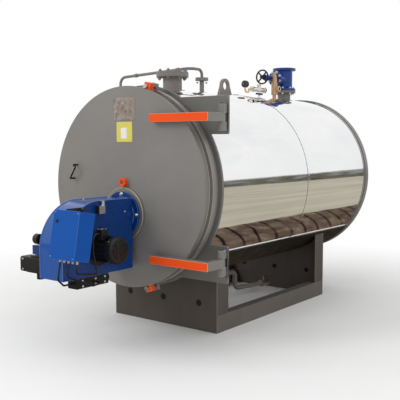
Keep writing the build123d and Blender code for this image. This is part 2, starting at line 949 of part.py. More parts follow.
def gas_gauge():
    """Square pressure switch with an upright tube beside it, on the right side of the housing."""
    y = door_face - gas_gauge_front
    z = axis_height + gas_gauge_rise
    half = gas_gauge_size / 2
    switch = block(housing_side, housing_side + gas_gauge_thickness, y - half, y + half, z - half, z + half)
    x = housing_side + gas_gauge_tube_radius
    return switch + rod_z(gas_gauge_tube_radius, z - half, z - half + gas_gauge_tube_height, x, y + half)


def damper_lever():
    """Flat lever with a knob, on the right side plate beside the scroll's round top."""
    y = door_face - damper_front
    z = axis_height + damper_rise
    outer = housing_side + damper_sheet
    lever = block(housing_side, outer, y - damper_length / 2, y + damper_length / 2,
                  z - damper_height / 2, z + damper_height / 2)
    knob_y = y + damper_length / 2 - damper_knob_radius
    return lever + rod_x(damper_knob_radius, outer, outer + damper_knob_reach, knob_y, z)


def vent_line():
    """Vent pipe from the small nozzle, forward, over the body and down the far side, held by a clip."""
    y = door_face + vent_depth
    run_y = y - vent_line_run_gap
    low = axis_height + vent_joint
    high = axis_height + vent_flange_top
    points = (
        (0, y, high),
        (0, y, axis_height + vent_line_peak),
        (0, run_y, axis_height + vent_line_peak),
        (-vent_line_side, run_y, axis_height + vent_line_side_rise),
        (-vent_line_side, run_y, vent_line_foot),
    )
    bore = vent_line_radius - vent_line_wall
    pipe = tube(points, [vent_elbow_bend, vent_line_bend, vent_line_bend], vent_line_radius, bore)
    pipe += rod_z(vent_flange_radius, low, high, 0, y) - rod_z(bore, low, high, 0, y)
    half = clip_width / 2
    clip = rod_z(clip_radius, axis_height - half, axis_height + half, -vent_line_side, run_y)
    clip += block(-vent_line_side, -cladding_radius - skin_gap, run_y - half, run_y + half,
                  axis_height - half, axis_height + half)
    return pipe + (clip - rod_z(vent_line_radius, axis_height - half, axis_height + half, -vent_line_side, run_y))


def lifting_lug():
    """Tapered eye plate on a pad that follows the cladding."""
    y = door_face + lug_depth
    foot = axis_height + cladding_radius + skin_gap
    with BuildSketch(Plane.YZ) as outline:
        with Locations((y, lug_eye_z)):
            Circle(lug_round)
        with BuildLine():
            Polyline((y - lug_width / 2, foot), (y + lug_width / 2, foot), (y + lug_round, lug_eye_z),
                     (y - lug_round, lug_eye_z), (y - lug_width / 2, foot))
        make_face()
        with Locations((y, lug_eye_z)):
            Circle(lug_hole_radius, mode=Mode.SUBTRACT)
    plate = extrude(outline.sketch, amount=lug_thickness / 2, both=True)
    seat = cladding_radius + skin_gap
    y0, y1 = y - lug_pad_length / 2, y + lug_pad_length / 2
    pad = ring_y(seat + rosette_sheet, seat, y0, y1)
    pad &= block(-lug_pad_width / 2, lug_pad_width / 2, y0, y1, axis_height, axis_height + 2 * cladding_radius)
    return pad + (plate - rod_y(seat, y0, y1))


def hexagon_nut(y, z):
    return Pos(0, y + manifold_nut_length, z) * Rot(90, 0, 0) * extrude(
        RegularPolygon(manifold_nut_radius, 6), amount=manifold_nut_length)


def pressure_manifold():
    """Stub with a lever valve, cross pipe with end nuts and air vent, and a siphon that holds the gauge."""
    y = door_face + manifold_depth
    z = axis_height + manifold_rise
    front = y - manifold_reach
    back = front + manifold_length
    body = rod_z(manifold_stub_radius, stub_foot(manifold_stub_radius), z, 0, y)
    body += rosette(manifold_depth, manifold_stub_radius)
    body += rod_y(manifold_radius, front, back, 0, z)
    body += hexagon_nut(front, z) + hexagon_nut(back - manifold_nut_length, z)
    body += rod_z(air_vent_radius, z, axis_height + air_vent_top, 0, y)
    lever_z = axis_height + lever_rise
    body += rod_x(lever_spindle_radius, 0, lever_offset, y, lever_z)
    body += block(lever_offset, lever_offset + lever_thickness, y - lever_length, y + lever_width / 2,
                  lever_z - lever_width / 2, lever_z + lever_width / 2)
    gauge_y = door_face + gauge_depth
    gauge_z = axis_height + gauge_rise
    case_front = gauge_y - gauge_thickness / 2
    siphon_z = axis_height + siphon_rise
    siphon_y = front - siphon_reach
    points = ((0, gauge_y, gauge_z - gauge_radius + siphon_radius), (0, gauge_y, siphon_z), (0, siphon_y, siphon_z),
              (0, siphon_y, z), (0, front, z))
    body += tube(points, [siphon_bend, siphon_bend / 2, siphon_bend / 2], siphon_radius)
    body += rod_y(gauge_radius, case_front, case_front + gauge_thickness, 0, gauge_z)
    return body - rod_y(gauge_radius - gauge_bezel, case_front, case_front + gauge_bezel, 0, gauge_z)


def top_fittings():
    """Capped socket on the cladding, and the pressure gauge with its small manifold."""
    crest = axis_height + cladding_radius
    plug = rod_z(plug_radius, crest, crest + plug_height, 0, door_face + plug_depth)
    plug -= rod_y(cladding_radius + band_thickness + skin_gap, door_face, body_end)
    return Compound(plug.solids() + [pressure_manifold()])


def safety_valve():
    """Spring safety valve: inlet, body with a side outlet, tapered spring bonnet and cap."""
    top = safety_body_height + safety_bonnet_height
    outline = (
        (0, 0), (safety_body_radius, 0), (safety_body_radius, safety_body_height), (safety_bonnet_radius, top),
        (safety_cap_radius, top), (safety_cap_radius, top + safety_cap_height), (0, top + safety_cap_height),
    )
    y = door_face + safety_depth
    foot = axis_height + safety_foot
    valve = Pos(safety_x, y, foot) * turned(outline)
    valve += rod_z(safety_inlet_radius, stub_foot(safety_inlet_radius, safety_x), foot, safety_x, y)
    valve += rosette(safety_depth, safety_inlet_radius, safety_x)
    z = axis_height + safety_outlet_rise
    mouth = safety_x + safety_outlet_reach
    valve += rod_x(safety_outlet_radius, safety_x, mouth, y, z)
    return valve - rod_x(safety_outlet_bore, safety_x + safety_body_radius, mouth, y, z)


def outlet_valve():
    """Flanged gate valve with a bolted bonnet that reaches forward to the handwheel."""
    waist = outlet_flange_thickness + outlet_neck
    body = rod_z(outlet_neck_radius, valve_low, valve_high, 0, outlet_y)
    body += rod_z(outlet_body_radius, valve_low + waist, valve_high - waist, 0, outlet_y)
    for low in (valve_low, valve_high - outlet_flange_thickness):
        body += rod_z(outlet_flange_radius, low, low + outlet_flange_thickness, 0, outlet_y)
    joint = bonnet_neck + bonnet_flange_thickness
    cover = joint + bonnet_joint
    bonnet = (
        (0, 0), (bonnet_neck_radius, 0), (bonnet_neck_radius, bonnet_neck), (bonnet_flange_radius, bonnet_neck),
        (bonnet_flange_radius, joint), (bonnet_joint_radius, joint), (bonnet_joint_radius, cover),
        (bonnet_flange_radius, cover), (bonnet_flange_radius, cover + bonnet_flange_thickness),
        (bonnet_dome_radius, cover + bonnet_flange_thickness), (spindle_radius, bonnet_dome_end),
        (spindle_radius, wheel_offset - bonnet_gap), (0, wheel_offset - bonnet_gap),
    )
    body += Pos(0, outlet_y, valve_mid) * Rot(90, 0, 0) * turned(bonnet)
    body -= rod_z(outlet_bore_radius, valve_low, valve_high, 0, outlet_y)
    body -= rod_y(stem_radius + stem_gap, wheel_y, wheel_y + stem_length + stem_end_gap, 0, valve_mid)
    for i in range(outlet_bolts):
        angle = 2 * pi * (i + 0.5) / outlet_bolts
        body -= rod_z(outlet_hole_radius, valve_high - outlet_flange_thickness, valve_high,
                      outlet_bolt_circle * cos(angle), outlet_y + outlet_bolt_circle * sin(angle))
    return body


def handwheel():
    """Round rim, four spokes and hub on a horizontal stem."""
    rim_circle = wheel_radius - wheel_rim_radius
    wheel = Rot(90, 0, 0) * Torus(rim_circle, wheel_rim_radius)
    for turn in (45, 135):
        wheel += Rot(0, turn, 0) * Box(2 * rim_circle, wheel_spoke_depth, wheel_spoke_width)
    wheel = Pos(0, wheel_y, valve_mid) * wheel
    half = wheel_hub_length / 2
    wheel += rod_y(wheel_hub_radius, wheel_y - half, wheel_y + half, 0, valve_mid)
    return wheel + rod_y(stem_radius, wheel_y, wheel_y + stem_length, 0, valve_mid)


def rear_cover():
    """Rear plate of the smoke box, with a round clean-out cover and its grip below the flue."""
    face = body_end + shell_wall
    plate = rod_y(shell_radius, body_end, face) - rod_y(flue_radius + skin_gap, body_end, face, 0, flue_z)
    z = axis_height - cleanout_drop
    plate += rod_y(cleanout_radius, face, face + cleanout_thickness, 0, z)
    half = cleanout_grip_length / 2
    seat = face + cleanout_thickness / 2
    out = face + cleanout_thickness + cleanout_grip_reach
    points = ((-half, seat, z), (-half, out, z), (half, out, z), (half, seat, z))
    return plate + tube(points, 2 * cleanout_grip_radius, cleanout_grip_radius)


def flue_outlet():
    """Round flue stub with a bolting flange."""
    end = body_end + flue_length
    flue = rod_y(flue_radius, body_end, end, 0, flue_z)
    flue += rod_y(flue_flange_radius, end - flue_flange_thickness, end, 0, flue_z)
    flue -= rod_y(flue_radius - flue_wall, body_end, end, 0, flue_z)
    for i in range(flue_bolts):
        angle = 2 * pi * (i + 0.5) / flue_bolts
        x = flue_bolt_circle * cos(angle)
        z = flue_z + flue_bolt_circle * sin(angle)
        flue -= rod_y(flue_hole_radius, end - flue_flange_thickness, end, x, z)
    return flue


def drain_line():
    """Drain pipe from the bottom of the shell, down and to the rear, with a lever valve on its end."""
    y = door_face + drain_depth
    turn_y = y + drain_run
    end_y = -front_plate_y - base_plate - drain_end_gap
    z = axis_height - drain_drop
    run_z = axis_height - drain_run_drop
    points = ((0, y, axis_height - shell_radius - skin_gap), (0, y, run_z), (0, turn_y, run_z), (0, turn_y, z),
              (drain_side, end_y, z))
    pipe = tube(points, drain_bend, drain_radius)
    pipe += rod_y(drain_valve_radius, end_y - drain_valve_radius, end_y + drain_valve_length, drain_side, z)
    stem_y = end_y + drain_valve_length / 3
    top = z + drain_valve_radius + drain_stem_rise
    pipe += rod_z(drain_stem_radius, z, top, drain_side, stem_y)
    half = lever_width / 2
    return pipe + block(drain_side - half, drain_side + half, stem_y - half, stem_y + drain_lever_length,
                        top, top + lever_thickness)


nodes = {}

# Base
nodes["base_front_plate"] = base_end_plate(front_plate_y)
nodes["base_rear_plate"] = base_end_plate(-front_plate_y - base_plate)
nodes["base_rails"] = Compound([base_rail(-1), base_rail(1)])
nodes["base_posts"] = Compound([corner_post(side, end) for side in (-1, 1) for end in (-1, 1)])

# Pressure body and fire side
shell = ring_y(shell_radius, shell_radius - shell_wall, tube_sheet_face, rear_sheet_back)
nodes["pressure_shell"] = with_ports(shell, tube_sheet_face, rear_sheet_back, skin_gap)
nodes["front_tube_sheet"] = tube_sheet(tube_sheet_face, tube_sheet_back, True)
nodes["rear_tube_sheet"] = tube_sheet(rear_sheet_face, rear_sheet_back, False)
furnace_bore = furnace_radius - furnace_wall
nodes["furnace_tube"] = ring_y(furnace_radius, furnace_bore, tube_sheet_face, furnace_end, 0, burner_z)
nodes["furnace_back"] = rod_y(furnace_radius, furnace_end, furnace_end + furnace_end_thickness, 0, burner_z)
nodes["smoke_tubes"] = Compound([smoke_tube(x, z) for x, z in tube_places()])
nodes["smoke_box"] = ring_y(shell_radius, shell_radius - shell_wall, rear_sheet_back, body_end)
nodes["rear_cover"] = rear_cover()
nodes["flue_outlet"] = flue_outlet()

# Body front
flange = rod_y(body_flange_radius, flange_face, groove_front) + rod_y(body_groove_radius, groove_front, ear_face)
nodes["body_flange"] = flange - rod_y(body_flange_inner_radius, flange_face, ear_face)
nodes["ear_plate"] = ear_plate()
nodes["hinge_barrels"] = Compound([barrel for z in hinge_heights() for barrel in hinge_barrels(z)])
nodes["hinge_pins"] = Compound([hinge_pin(z) for z in hinge_heights()])
nodes["latch_lugs"] = Compound([latch_turned(latch_lug(side), side) for side in (-1, 1)])

# Insulation and its sheets
nodes["insulation"] = insulation_mats()
nodes["front_cladding"] = cladding_length(ear_back, seam_y)
nodes["rear_cladding"] = cladding_length(seam_y, body_end)
nodes["belly_sheet"] = belly_sheet()
nodes["cladding_trim"] = cladding_trim()
nodes["end_trim"] = ring_y(end_trim_radius, shell_radius + skin_gap, body_end, body_end + end_trim_width)

# Fittings on top and the drain
nodes["front_nozzle"] = nozzle(nozzle_depth, nozzle_pipe_radius, nozzle_wall, nozzle_flange_radius,
                               nozzle_flange_thickness, nozzle_joint)
nodes["blind_flange"] = rod_z(nozzle_flange_radius, axis_height + nozzle_joint, axis_height + nozzle_top, 0,
                              door_face + nozzle_depth)
nodes["vent_nozzle"] = nozzle(vent_depth, vent_pipe_radius, vent_pipe_wall, vent_flange_radius,
                              vent_flange_thickness, vent_joint)
nodes["vent_line"] = vent_line()
nodes["lifting_lug"] = lifting_lug()
nodes["top_fittings"] = top_fittings()
nodes["safety_valve"] = safety_valve()
nodes["outlet_nozzle"] = nozzle(outlet_depth, outlet_pipe_radius, outlet_wall, outlet_flange_radius,
                                outlet_flange_thickness, outlet_flange_top)
nodes["outlet_valve"] = outlet_valve()
nodes["outlet_handwheel"] = handwheel()
nodes["drain_line"] = drain_line()

# Door
throat = rod_y(blast_tube_radius + throat_gap, door_face, flange_face + lining_thickness, 0, burner_z)
plate = rod_y(door_radius, door_face, door_face + door_sheet)
nodes["door_plate"] = fillet(plate.edges().sort_by(Axis.Y)[0], door_edge_round) - throat
drum_bore = door_drum_radius - door_drum_wall
nodes["door_rim"] = ring_y(door_drum_radius, drum_bore, door_face + door_sheet, drum_back)
lining = rod_y(drum_bore - skin_gap, door_face + door_sheet, drum_back)
lining += rod_y(lining_radius, drum_back, drum_back + lining_thickness)
nodes["door_lining"] = lining - throat
nodes["door_gasket"] = ring_y(gasket_outer_radius, gasket_outer_radius - gasket_width, drum_back,
                              drum_back + gasket_thickness)
nodes["hinge_arms"] = Compound([hinge_arm(z) for z in hinge_heights()])
nodes["arm_covers"] = Compound([arm_cover(z) for z in hinge_heights()])
nodes["door_handle"] = door_handle()
nodes["sight_glass"] = sight_glass()
nodes["name_plate"] = door_sign(name_plate_width, name_plate_height, name_plate_rise)
nodes["notice_tag"] = door_sign(notice_width, notice_height, notice_rise)
nodes["latch_blocks"] = Compound([latch_turned(latch_block(side), side) for side in (-1, 1)])
nodes["latch_bolts"] = Compound([latch_turned(latch_bolt(side), side) for side in (-1, 1)])

# Burner on the door
blast_hole = rod_y(blast_tube_radius + throat_gap, housing_back, door_face, 0, burner_z)
nodes["burner_collar"] = rod_y(collar_radius, collar_front, door_face, 0, burner_z) - blast_hole
burner_flange = rod_y(burner_flange_radius, burner_flange_front, collar_front, 0, burner_z)
burner_flange += rod_y(neck_radius, housing_back, burner_flange_front, 0, burner_z)
nodes["burner_flange"] = burner_flange - blast_hole
nodes["burner_housing"] = burner_housing()
nodes["blast_tube"] = blast_tube()
nodes["fan_motor"] = fan_motor()
nodes["motor_cowl"] = motor_cowl()
nodes["control_box"] = control_box()
nodes["panel_bracket"] = panel_bracket()
nodes["cable_glands"] = Compound([cable_gland(i) for i in range(gland_count)])
nodes["burner_conduits"] = burner_conduits()
nodes["gas_valve"] = gas_valve()
nodes["air_intake"] = Compound([air_intake(), air_switch(), damper_lever()])
nodes["gas_trim_block"] = Compound([gas_train(), gas_gauge()])

for name, shape in nodes.items():
    export_step(shape, f"parts/{name}.step")
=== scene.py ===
import json
from math import cos, pi, radians, sin, sqrt

import bmesh
import bpy
from mathutils import Matrix, Vector

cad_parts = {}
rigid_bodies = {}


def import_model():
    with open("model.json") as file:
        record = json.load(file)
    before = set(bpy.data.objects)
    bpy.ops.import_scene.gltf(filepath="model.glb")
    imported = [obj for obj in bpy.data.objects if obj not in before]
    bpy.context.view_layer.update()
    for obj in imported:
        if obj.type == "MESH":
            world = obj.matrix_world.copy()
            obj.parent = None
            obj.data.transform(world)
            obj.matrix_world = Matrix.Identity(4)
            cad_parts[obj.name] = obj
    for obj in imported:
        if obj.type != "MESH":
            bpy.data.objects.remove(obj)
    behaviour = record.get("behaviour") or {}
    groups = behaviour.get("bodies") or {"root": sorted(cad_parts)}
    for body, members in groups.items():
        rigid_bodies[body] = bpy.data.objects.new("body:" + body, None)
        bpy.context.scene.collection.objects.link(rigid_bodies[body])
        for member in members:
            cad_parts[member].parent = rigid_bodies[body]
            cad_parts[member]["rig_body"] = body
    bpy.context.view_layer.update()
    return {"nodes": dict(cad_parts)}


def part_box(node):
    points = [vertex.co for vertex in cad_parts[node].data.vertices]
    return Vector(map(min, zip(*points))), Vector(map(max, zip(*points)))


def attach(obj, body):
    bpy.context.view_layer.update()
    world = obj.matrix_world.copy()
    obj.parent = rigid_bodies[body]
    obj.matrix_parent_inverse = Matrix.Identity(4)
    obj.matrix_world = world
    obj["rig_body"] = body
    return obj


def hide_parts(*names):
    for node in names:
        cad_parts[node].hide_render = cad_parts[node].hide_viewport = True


# All in metres in the part's own frame: the door faces -Y, its hinges are on +X, the floor is at Z = 0.
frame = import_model()
nodes = frame["nodes"]
hinge_side, upward = Vector((1, 0, 0)), Vector((0, 0, 1))
forward, rearward = Vector((0, -1, 0)), Vector((0, 1, 0))


# Colours and places

def shade(red, green, blue):
    """Colour from the values that a screen shows, 0 to 255."""
    linear = []
    for value in (red, green, blue):
        part = value / 255
        linear.append(((part + 0.055) / 1.055) ** 2.4 if part > 0.04 else part / 12.92)
    return (*linear, 1.0)


def toned(color, factor):
    """The same colour, darker below a factor of 1 and lighter above it."""
    return (*(min(1.0, value * factor) for value in color[:3]), 1.0)


def middle(node):
    """Centre of a solid's box."""
    low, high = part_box(node)
    return (low + high) / 2


def shares(count):
    """Even steps from 0 to 1."""
    return [i / (count - 1) for i in range(count)]


# Parts of a finish

# A noise pattern mostly lies between these two values.
noise_low, noise_high = 0.3, 0.7

# Sockets of the mixing node for its factor and its two colours, and for the mixed colour.
mix_factor, mix_below, mix_above, mix_result = 0, 6, 7, 2


def fresh_material(name):
    """New material with its tree and its main shader."""
    material = bpy.data.materials.new(name)
    material.use_nodes = True
    return material, material.node_tree, material.node_tree.nodes["Principled BSDF"]


def linked(tree, socket, value):
    """Gives a socket a plain value, or links another node's socket to it."""
    if hasattr(value, "node"):
        tree.links.new(value, socket)
    else:
        socket.default_value = value


def filled(tree, node, **inputs):
    """Fills a node's inputs by their names, where an underscore stands for a space."""
    for name, value in inputs.items():
        linked(tree, node.inputs[name.replace("_", " ")], value)


def grain(tree, scale, detail=4.0, stretch=(1, 1, 1), distortion=0.0, rough=0.55):
    """Noise on object coordinates. The scale is in features a metre."""
    place = tree.nodes.new("ShaderNodeTexCoord")
    mapping = tree.nodes.new("ShaderNodeMapping")
    noise = tree.nodes.new("ShaderNodeTexNoise")
    filled(tree, mapping, Vector=place.outputs["Object"], Scale=stretch)
    filled(tree, noise, Vector=mapping.outputs["Vector"], Scale=scale, Detail=detail, Roughness=rough,
           Distortion=distortion)
    return noise.outputs["Fac"]


def stops(tree, pattern, points):
    """Colour ramp with its (place, colour) points."""
    ramp = tree.nodes.new("ShaderNodeValToRGB")
    bar = ramp.color_ramp.elements
    while len(bar) < len(points):
        bar.new(0.5)
    for stop, (place, color) in zip(bar, points):
        stop.position = place
        stop.color = color
    filled(tree, ramp, Fac=pattern)
    return ramp.outputs["Color"]


def clouded(tree, pattern, color, change):
    """A colour that gets darker and lighter with a pattern."""
    dark, light = toned(color, 1 - change), toned(color, 1 + change)
    return stops(tree, pattern, ((noise_low, dark), (noise_high, light)))


def spread(tree, pattern, low, high, start=noise_low, end=noise_high):
    """Stretches a pattern between start and end to plain values from low to high."""
    span = tree.nodes.new("ShaderNodeMapRange")
    filled(tree, span, Value=pattern, From_Min=start, From_Max=end, To_Min=low, To_Max=high)
    return span.outputs["Result"]


def over(tree, factor, below, above):
    """One colour laid over another by a factor."""
    mix = tree.nodes.new("ShaderNodeMix")
    mix.data_type = "RGBA"
    for index, value in ((mix_factor, factor), (mix_below, below), (mix_above, above)):
        linked(tree, mix.inputs[index], value)
    return mix.outputs[mix_result]


def calculated(tree, kind, first, second=0.0):
    """Result of one kind of sum on two values or patterns."""
    step = tree.nodes.new("ShaderNodeMath")
    step.operation = kind
    linked(tree, step.inputs[0], first)
    linked(tree, step.inputs[1], second)
    return step.outputs["Value"]


def times(tree, first, second):
    """Product of two values or patterns."""
    return calculated(tree, "MULTIPLY", first, second)


def along(tree, axis):
    """One of the object coordinates."""
    place = tree.nodes.new("ShaderNodeTexCoord")
    split = tree.nodes.new("ShaderNodeSeparateXYZ")
    filled(tree, split, Vector=place.outputs["Object"])
    return split.outputs[axis]


def distance_from(tree, axis, place):
    """How far a point lies from a place on one axis."""
    return calculated(tree, "ABSOLUTE", calculated(tree, "SUBTRACT", along(tree, axis), place))


def relief(tree, shader, height, strength, depth):
    """Makes the surface look raised and sunk by a height pattern."""
    bump = tree.nodes.new("ShaderNodeBump")
    filled(tree, bump, Height=height, Strength=strength, Distance=depth)
    filled(tree, shader, Normal=bump.outputs["Normal"])


# Finishes

dust_height, dust_color = 0.45, shade(134, 127, 118)
scuff_tone = 1.3


def enamel(name, color, roughness=0.38, mottle=0.07, peel=260, dust=0.0, coat=0.0, gloss=0.5):
    """Sprayed enamel: cloudy tone, fine orange peel, small scuffs, and dust that settles low down."""
    material, tree, shader = fresh_material(name)
    tone = clouded(tree, grain(tree, 2.2, detail=6.0), color, mottle)
    scuffs = spread(tree, grain(tree, 34, detail=8.0, distortion=0.6, rough=0.7), 0.0, 1.0, 0.68, 0.8)
    tone = over(tree, scuffs, tone, toned(color, scuff_tone))
    if dust:
        low_down = spread(tree, along(tree, "Z"), dust, 0.0, 0.0, dust_height)
        streaks = spread(tree, grain(tree, 7, detail=7.0, stretch=(1, 1, 0.3), distortion=0.5), 0.0, 1.0)
        tone = over(tree, times(tree, low_down, streaks), tone, dust_color)
    sheen = spread(tree, grain(tree, 9, detail=5.0), roughness - 0.07, roughness + 0.1)
    filled(tree, shader, Base_Color=tone, Roughness=sheen, Specular_IOR_Level=gloss, Coat_Weight=coat,
           Coat_Roughness=0.12)
    relief(tree, shader, grain(tree, peel, detail=3.0), strength=0.12, depth=0.0006)
    return material


# Reach, edge, fade and colour of the painted shadow line in the gap beside the hinge pins.
gap_shadow_reach, gap_shadow_edge, gap_shadow_fade = 0.007, 0.014, 0.02
gap_shadow_color = shade(22, 20, 19)


def gap_shadowed_enamel(name, color, pin_x, middle_z, near, far):
    """Enamel with a dark line painted beside the hinge pins as the shadow in their gap, from near to far
    above and below the middle.
    """
    material = enamel(name, color, 0.4)
    tree = material.node_tree
    shader = tree.nodes["Principled BSDF"]
    paint = shader.inputs["Base Color"].links[0].from_socket
    beside = spread(tree, distance_from(tree, "X", pin_x), 1.0, 0.0, gap_shadow_reach, gap_shadow_edge)
    height = distance_from(tree, "Z", middle_z)
    inner = spread(tree, height, 0.0, 1.0, near - gap_shadow_fade, near + gap_shadow_fade)
    outer = spread(tree, height, 1.0, 0.0, far - gap_shadow_fade, far + gap_shadow_fade)
    streaks = spread(tree, grain(tree, 22, detail=6.0, stretch=(1, 1, 0.4)), 0.35, 1.0, 0.35, 0.6)
    gap_shadow_mask = times(tree, times(tree, beside, times(tree, inner, outer)), streaks)
    filled(tree, shader, Base_Color=over(tree, gap_shadow_mask, paint, gap_shadow_color))
    return material


def polished_sheet(name, roughness=0.03, waves=0.12):
    """Mirror-polished stainless sheet: faint waves and a few smears, drawn out along the boiler."""
    material, tree, shader = fresh_material(name)
    smears = grain(tree, 3.0, detail=6.0, stretch=(1, 0.25, 1), distortion=0.8)
    tone = stops(tree, smears, ((0.25, shade(228, 229, 231)), (0.75, shade(244, 244, 243))))
    sheen = spread(tree, smears, roughness, roughness + 0.05)
    filled(tree, shader, Base_Color=tone, Metallic=1.0, Roughness=sheen)
    relief(tree, shader, grain(tree, 2.4, detail=2.0, stretch=(1, 0.35, 1)), strength=waves, depth=0.012)
    return material


def worked_metal(name, color, roughness, scale=120, metallic=1.0, contrast=0.16, bump=0.12):
    """Bare or plated metal with a fine grain."""
    material, tree, shader = fresh_material(name)
    streaks = grain(tree, scale, detail=7.0, distortion=0.3, rough=0.65)
    filled(tree, shader, Base_Color=clouded(tree, streaks, color, contrast), Metallic=metallic,
           Roughness=spread(tree, streaks, roughness - 0.08, roughness + 0.12))
    relief(tree, shader, grain(tree, 2 * scale, detail=4.0), strength=bump, depth=0.0008)
    return material


def sooted_steel(name, color, soot):
    """Boiler plate of the fire side: mill scale, patches of rust and soot."""
    material, tree, shader = fresh_material(name)
    patches = grain(tree, 5, detail=8.0, distortion=0.8, rough=0.65)
    rust = shade(122, 78, 52)
    tone = stops(tree, patches, ((0.3, soot), (0.5, color), (0.62, toned(color, 1.25)), (0.75, rust)))
    filled(tree, shader, Base_Color=tone, Metallic=0.35, Roughness=spread(tree, patches, 0.45, 0.8))
    relief(tree, shader, grain(tree, 120, detail=6.0), strength=0.3, depth=0.001)
    return material


def rough_casting(name, color, roughness=0.5, coat=0.0, depth=0.0012, gloss=0.5):
    """Painted casting: sandy skin, darker in its hollows."""
    material, tree, shader = fresh_material(name)
    sand = grain(tree, 190, detail=6.0, rough=0.65)
    tone = clouded(tree, grain(tree, 6, detail=5.0), color, 0.18)
    sheen = spread(tree, sand, roughness - 0.1, roughness + 0.12)
    filled(tree, shader, Base_Color=tone, Roughness=sheen, Specular_IOR_Level=gloss, Coat_Weight=coat,
           Coat_Roughness=0.15)
    relief(tree, shader, sand, strength=0.35, depth=depth)
    return material


def mineral(name, dark, light, scale, stretch=(1, 1, 1), bump=0.6, depth=0.004):
    """Dry fibrous or cast lining."""
    material, tree, shader = fresh_material(name)
    fibres = grain(tree, scale, detail=9.0, stretch=stretch, distortion=1.2, rough=0.7)
    tone = stops(tree, fibres, ((noise_low, dark), (noise_high, light)))
    filled(tree, shader, Base_Color=tone, Roughness=0.92)
    relief(tree, shader, fibres, strength=bump, depth=depth)
    return material


def smooth_plastic(name, color, roughness=0.42, mottle=0.1, coat=0.0):
    """Moulded plastic, rubber, film, glass or thin paint with a faint cloudiness."""
    material, tree, shader = fresh_material(name)
    clouds = grain(tree, 40, detail=4.0)
    sheen = spread(tree, clouds, roughness - 0.05, roughness + 0.07)
    filled(tree, shader, Base_Color=clouded(tree, clouds, color, mottle), Roughness=sheen, Coat_Weight=coat,
           Coat_Roughness=0.05)
    relief(tree, shader, grain(tree, 700, detail=2.0), strength=0.1, depth=0.0004)
    return material


def stained_plate(name, brown, dull, pale, bright):
    """Thin bare plate with brown and pale stains."""
    material, tree, shader = fresh_material(name)
    stains = grain(tree, 26, detail=5.0, distortion=0.5, rough=0.6)
    tone = stops(tree, stains, ((0.3, brown), (0.45, dull), (0.6, pale), (0.72, bright)))
    filled(tree, shader, Base_Color=tone, Metallic=0.5, Roughness=spread(tree, stains, 0.35, 0.55))
    relief(tree, shader, grain(tree, 300, detail=3.0), strength=0.1, depth=0.0004)
    return material


axis_z = middle("door_plate").z
# Where the painted gap shadow lies beside the hinge pins, and how far above and below the middle.
gap_shadow_shift, gap_shadow_near, gap_shadow_far = 0.016, 0.46, 0.68
gap_shadow_x = middle("hinge_pins").x + gap_shadow_shift

grey_enamel = enamel("grey_enamel", shade(127, 124, 120), 0.36, dust=0.3)
# The lighter edge finishes stand for light caught on eased edges: painted highlights.
grey_edge_highlight = enamel("grey_edge_highlight", shade(172, 168, 164), 0.34)
ear_enamel = gap_shadowed_enamel("ear_enamel", shade(114, 113, 109), gap_shadow_x, axis_z, gap_shadow_near, gap_shadow_far)
# Both are the base's grey paint: the rails lighter as painted light on their tops, the plates and posts
# darker as painted shade under the door and burner.
lit_rail_enamel = enamel("lit_rail_enamel", shade(100, 96, 92), 0.42, dust=0.16)
shaded_base_enamel = enamel("shaded_base_enamel", shade(80, 74, 69), 0.45, dust=0.16)
base_edge_highlight = enamel("base_edge_highlight", shade(132, 128, 123), 0.4)
# Dark belly paint, made darker still to stand for the shade under the boiler: part paint, part painted shade.
belly_enamel_and_shade = enamel("belly_enamel_and_shade", shade(38, 35, 30), 0.4, mottle=0.14, gloss=0.3)
fitting_enamel = enamel("fitting_enamel", shade(124, 120, 116), 0.45, mottle=0.12)
orange_enamel = enamel("orange_enamel", shade(240, 80, 12), 0.4, mottle=0.03, gloss=0.3)
orange_edge_highlight = enamel("orange_edge_highlight", shade(250, 168, 122), 0.34)
blue_enamel = enamel("blue_enamel", shade(4, 54, 120), 0.28, mottle=0.06, peel=420, coat=0.15, gloss=0.3)
# Lighter, glossier copy of the housing's blue for its wrap: painted light, against the darker side plates.
lit_wrap_enamel = enamel("lit_wrap_enamel", shade(8, 76, 156), 0.24, mottle=0.06, peel=420, coat=0.45, gloss=0.3)
blue_edge_highlight = enamel("blue_edge_highlight", shade(112, 148, 214), 0.3)
box_enamel = enamel("box_enamel", shade(0, 78, 162), 0.36, mottle=0.05, peel=420, coat=0.06, gloss=0.15)
valve_blue = rough_casting("valve_blue", shade(8, 58, 132), 0.36, 0.25, gloss=0.3)
mirror_sheet = polished_sheet("mirror_sheet")
trim_sheet = polished_sheet("trim_sheet", 0.1, 0.05)
zinc_steel = worked_metal("zinc_steel", shade(216, 215, 211), 0.3, scale=150)
pin_steel = worked_metal("pin_steel", shade(92, 90, 88), 0.4, metallic=0.8)
chrome_steel = worked_metal("chrome_steel", shade(232, 233, 235), 0.12, scale=90, contrast=0.05, bump=0.04)
dull_bronze = worked_metal("dull_bronze", shade(196, 158, 124), 0.4, metallic=0.7)
collar_steel = worked_metal("collar_steel", shade(150, 144, 132), 0.46, metallic=0.6)
collar_edge_highlight = worked_metal("collar_edge_highlight", shade(228, 222, 208), 0.4, metallic=0.5)
pale_brass = worked_metal("pale_brass", shade(226, 198, 158), 0.36, metallic=0.8)
joint_face = worked_metal("joint_face", shade(112, 96, 72), 0.5, metallic=0.6)
border_tin = worked_metal("border_tin", shade(186, 178, 168), 0.5, metallic=0.4)
black_casting = rough_casting("black_casting", shade(28, 28, 30), 0.5, 0.1, gloss=0.25)
motor_black = rough_casting("motor_black", shade(27, 28, 28), 0.34, 0.3, 0.0006, 0.2)
# Pale grey casting: a painted highlight on eased edges and on the top of the terminal box lid, and the grey
# ring of the gauge dial.
grey_casting_and_highlight = rough_casting("grey_casting_and_highlight", shade(104, 104, 102), 0.4)
black_plastic = smooth_plastic("black_plastic", shade(28, 28, 29))
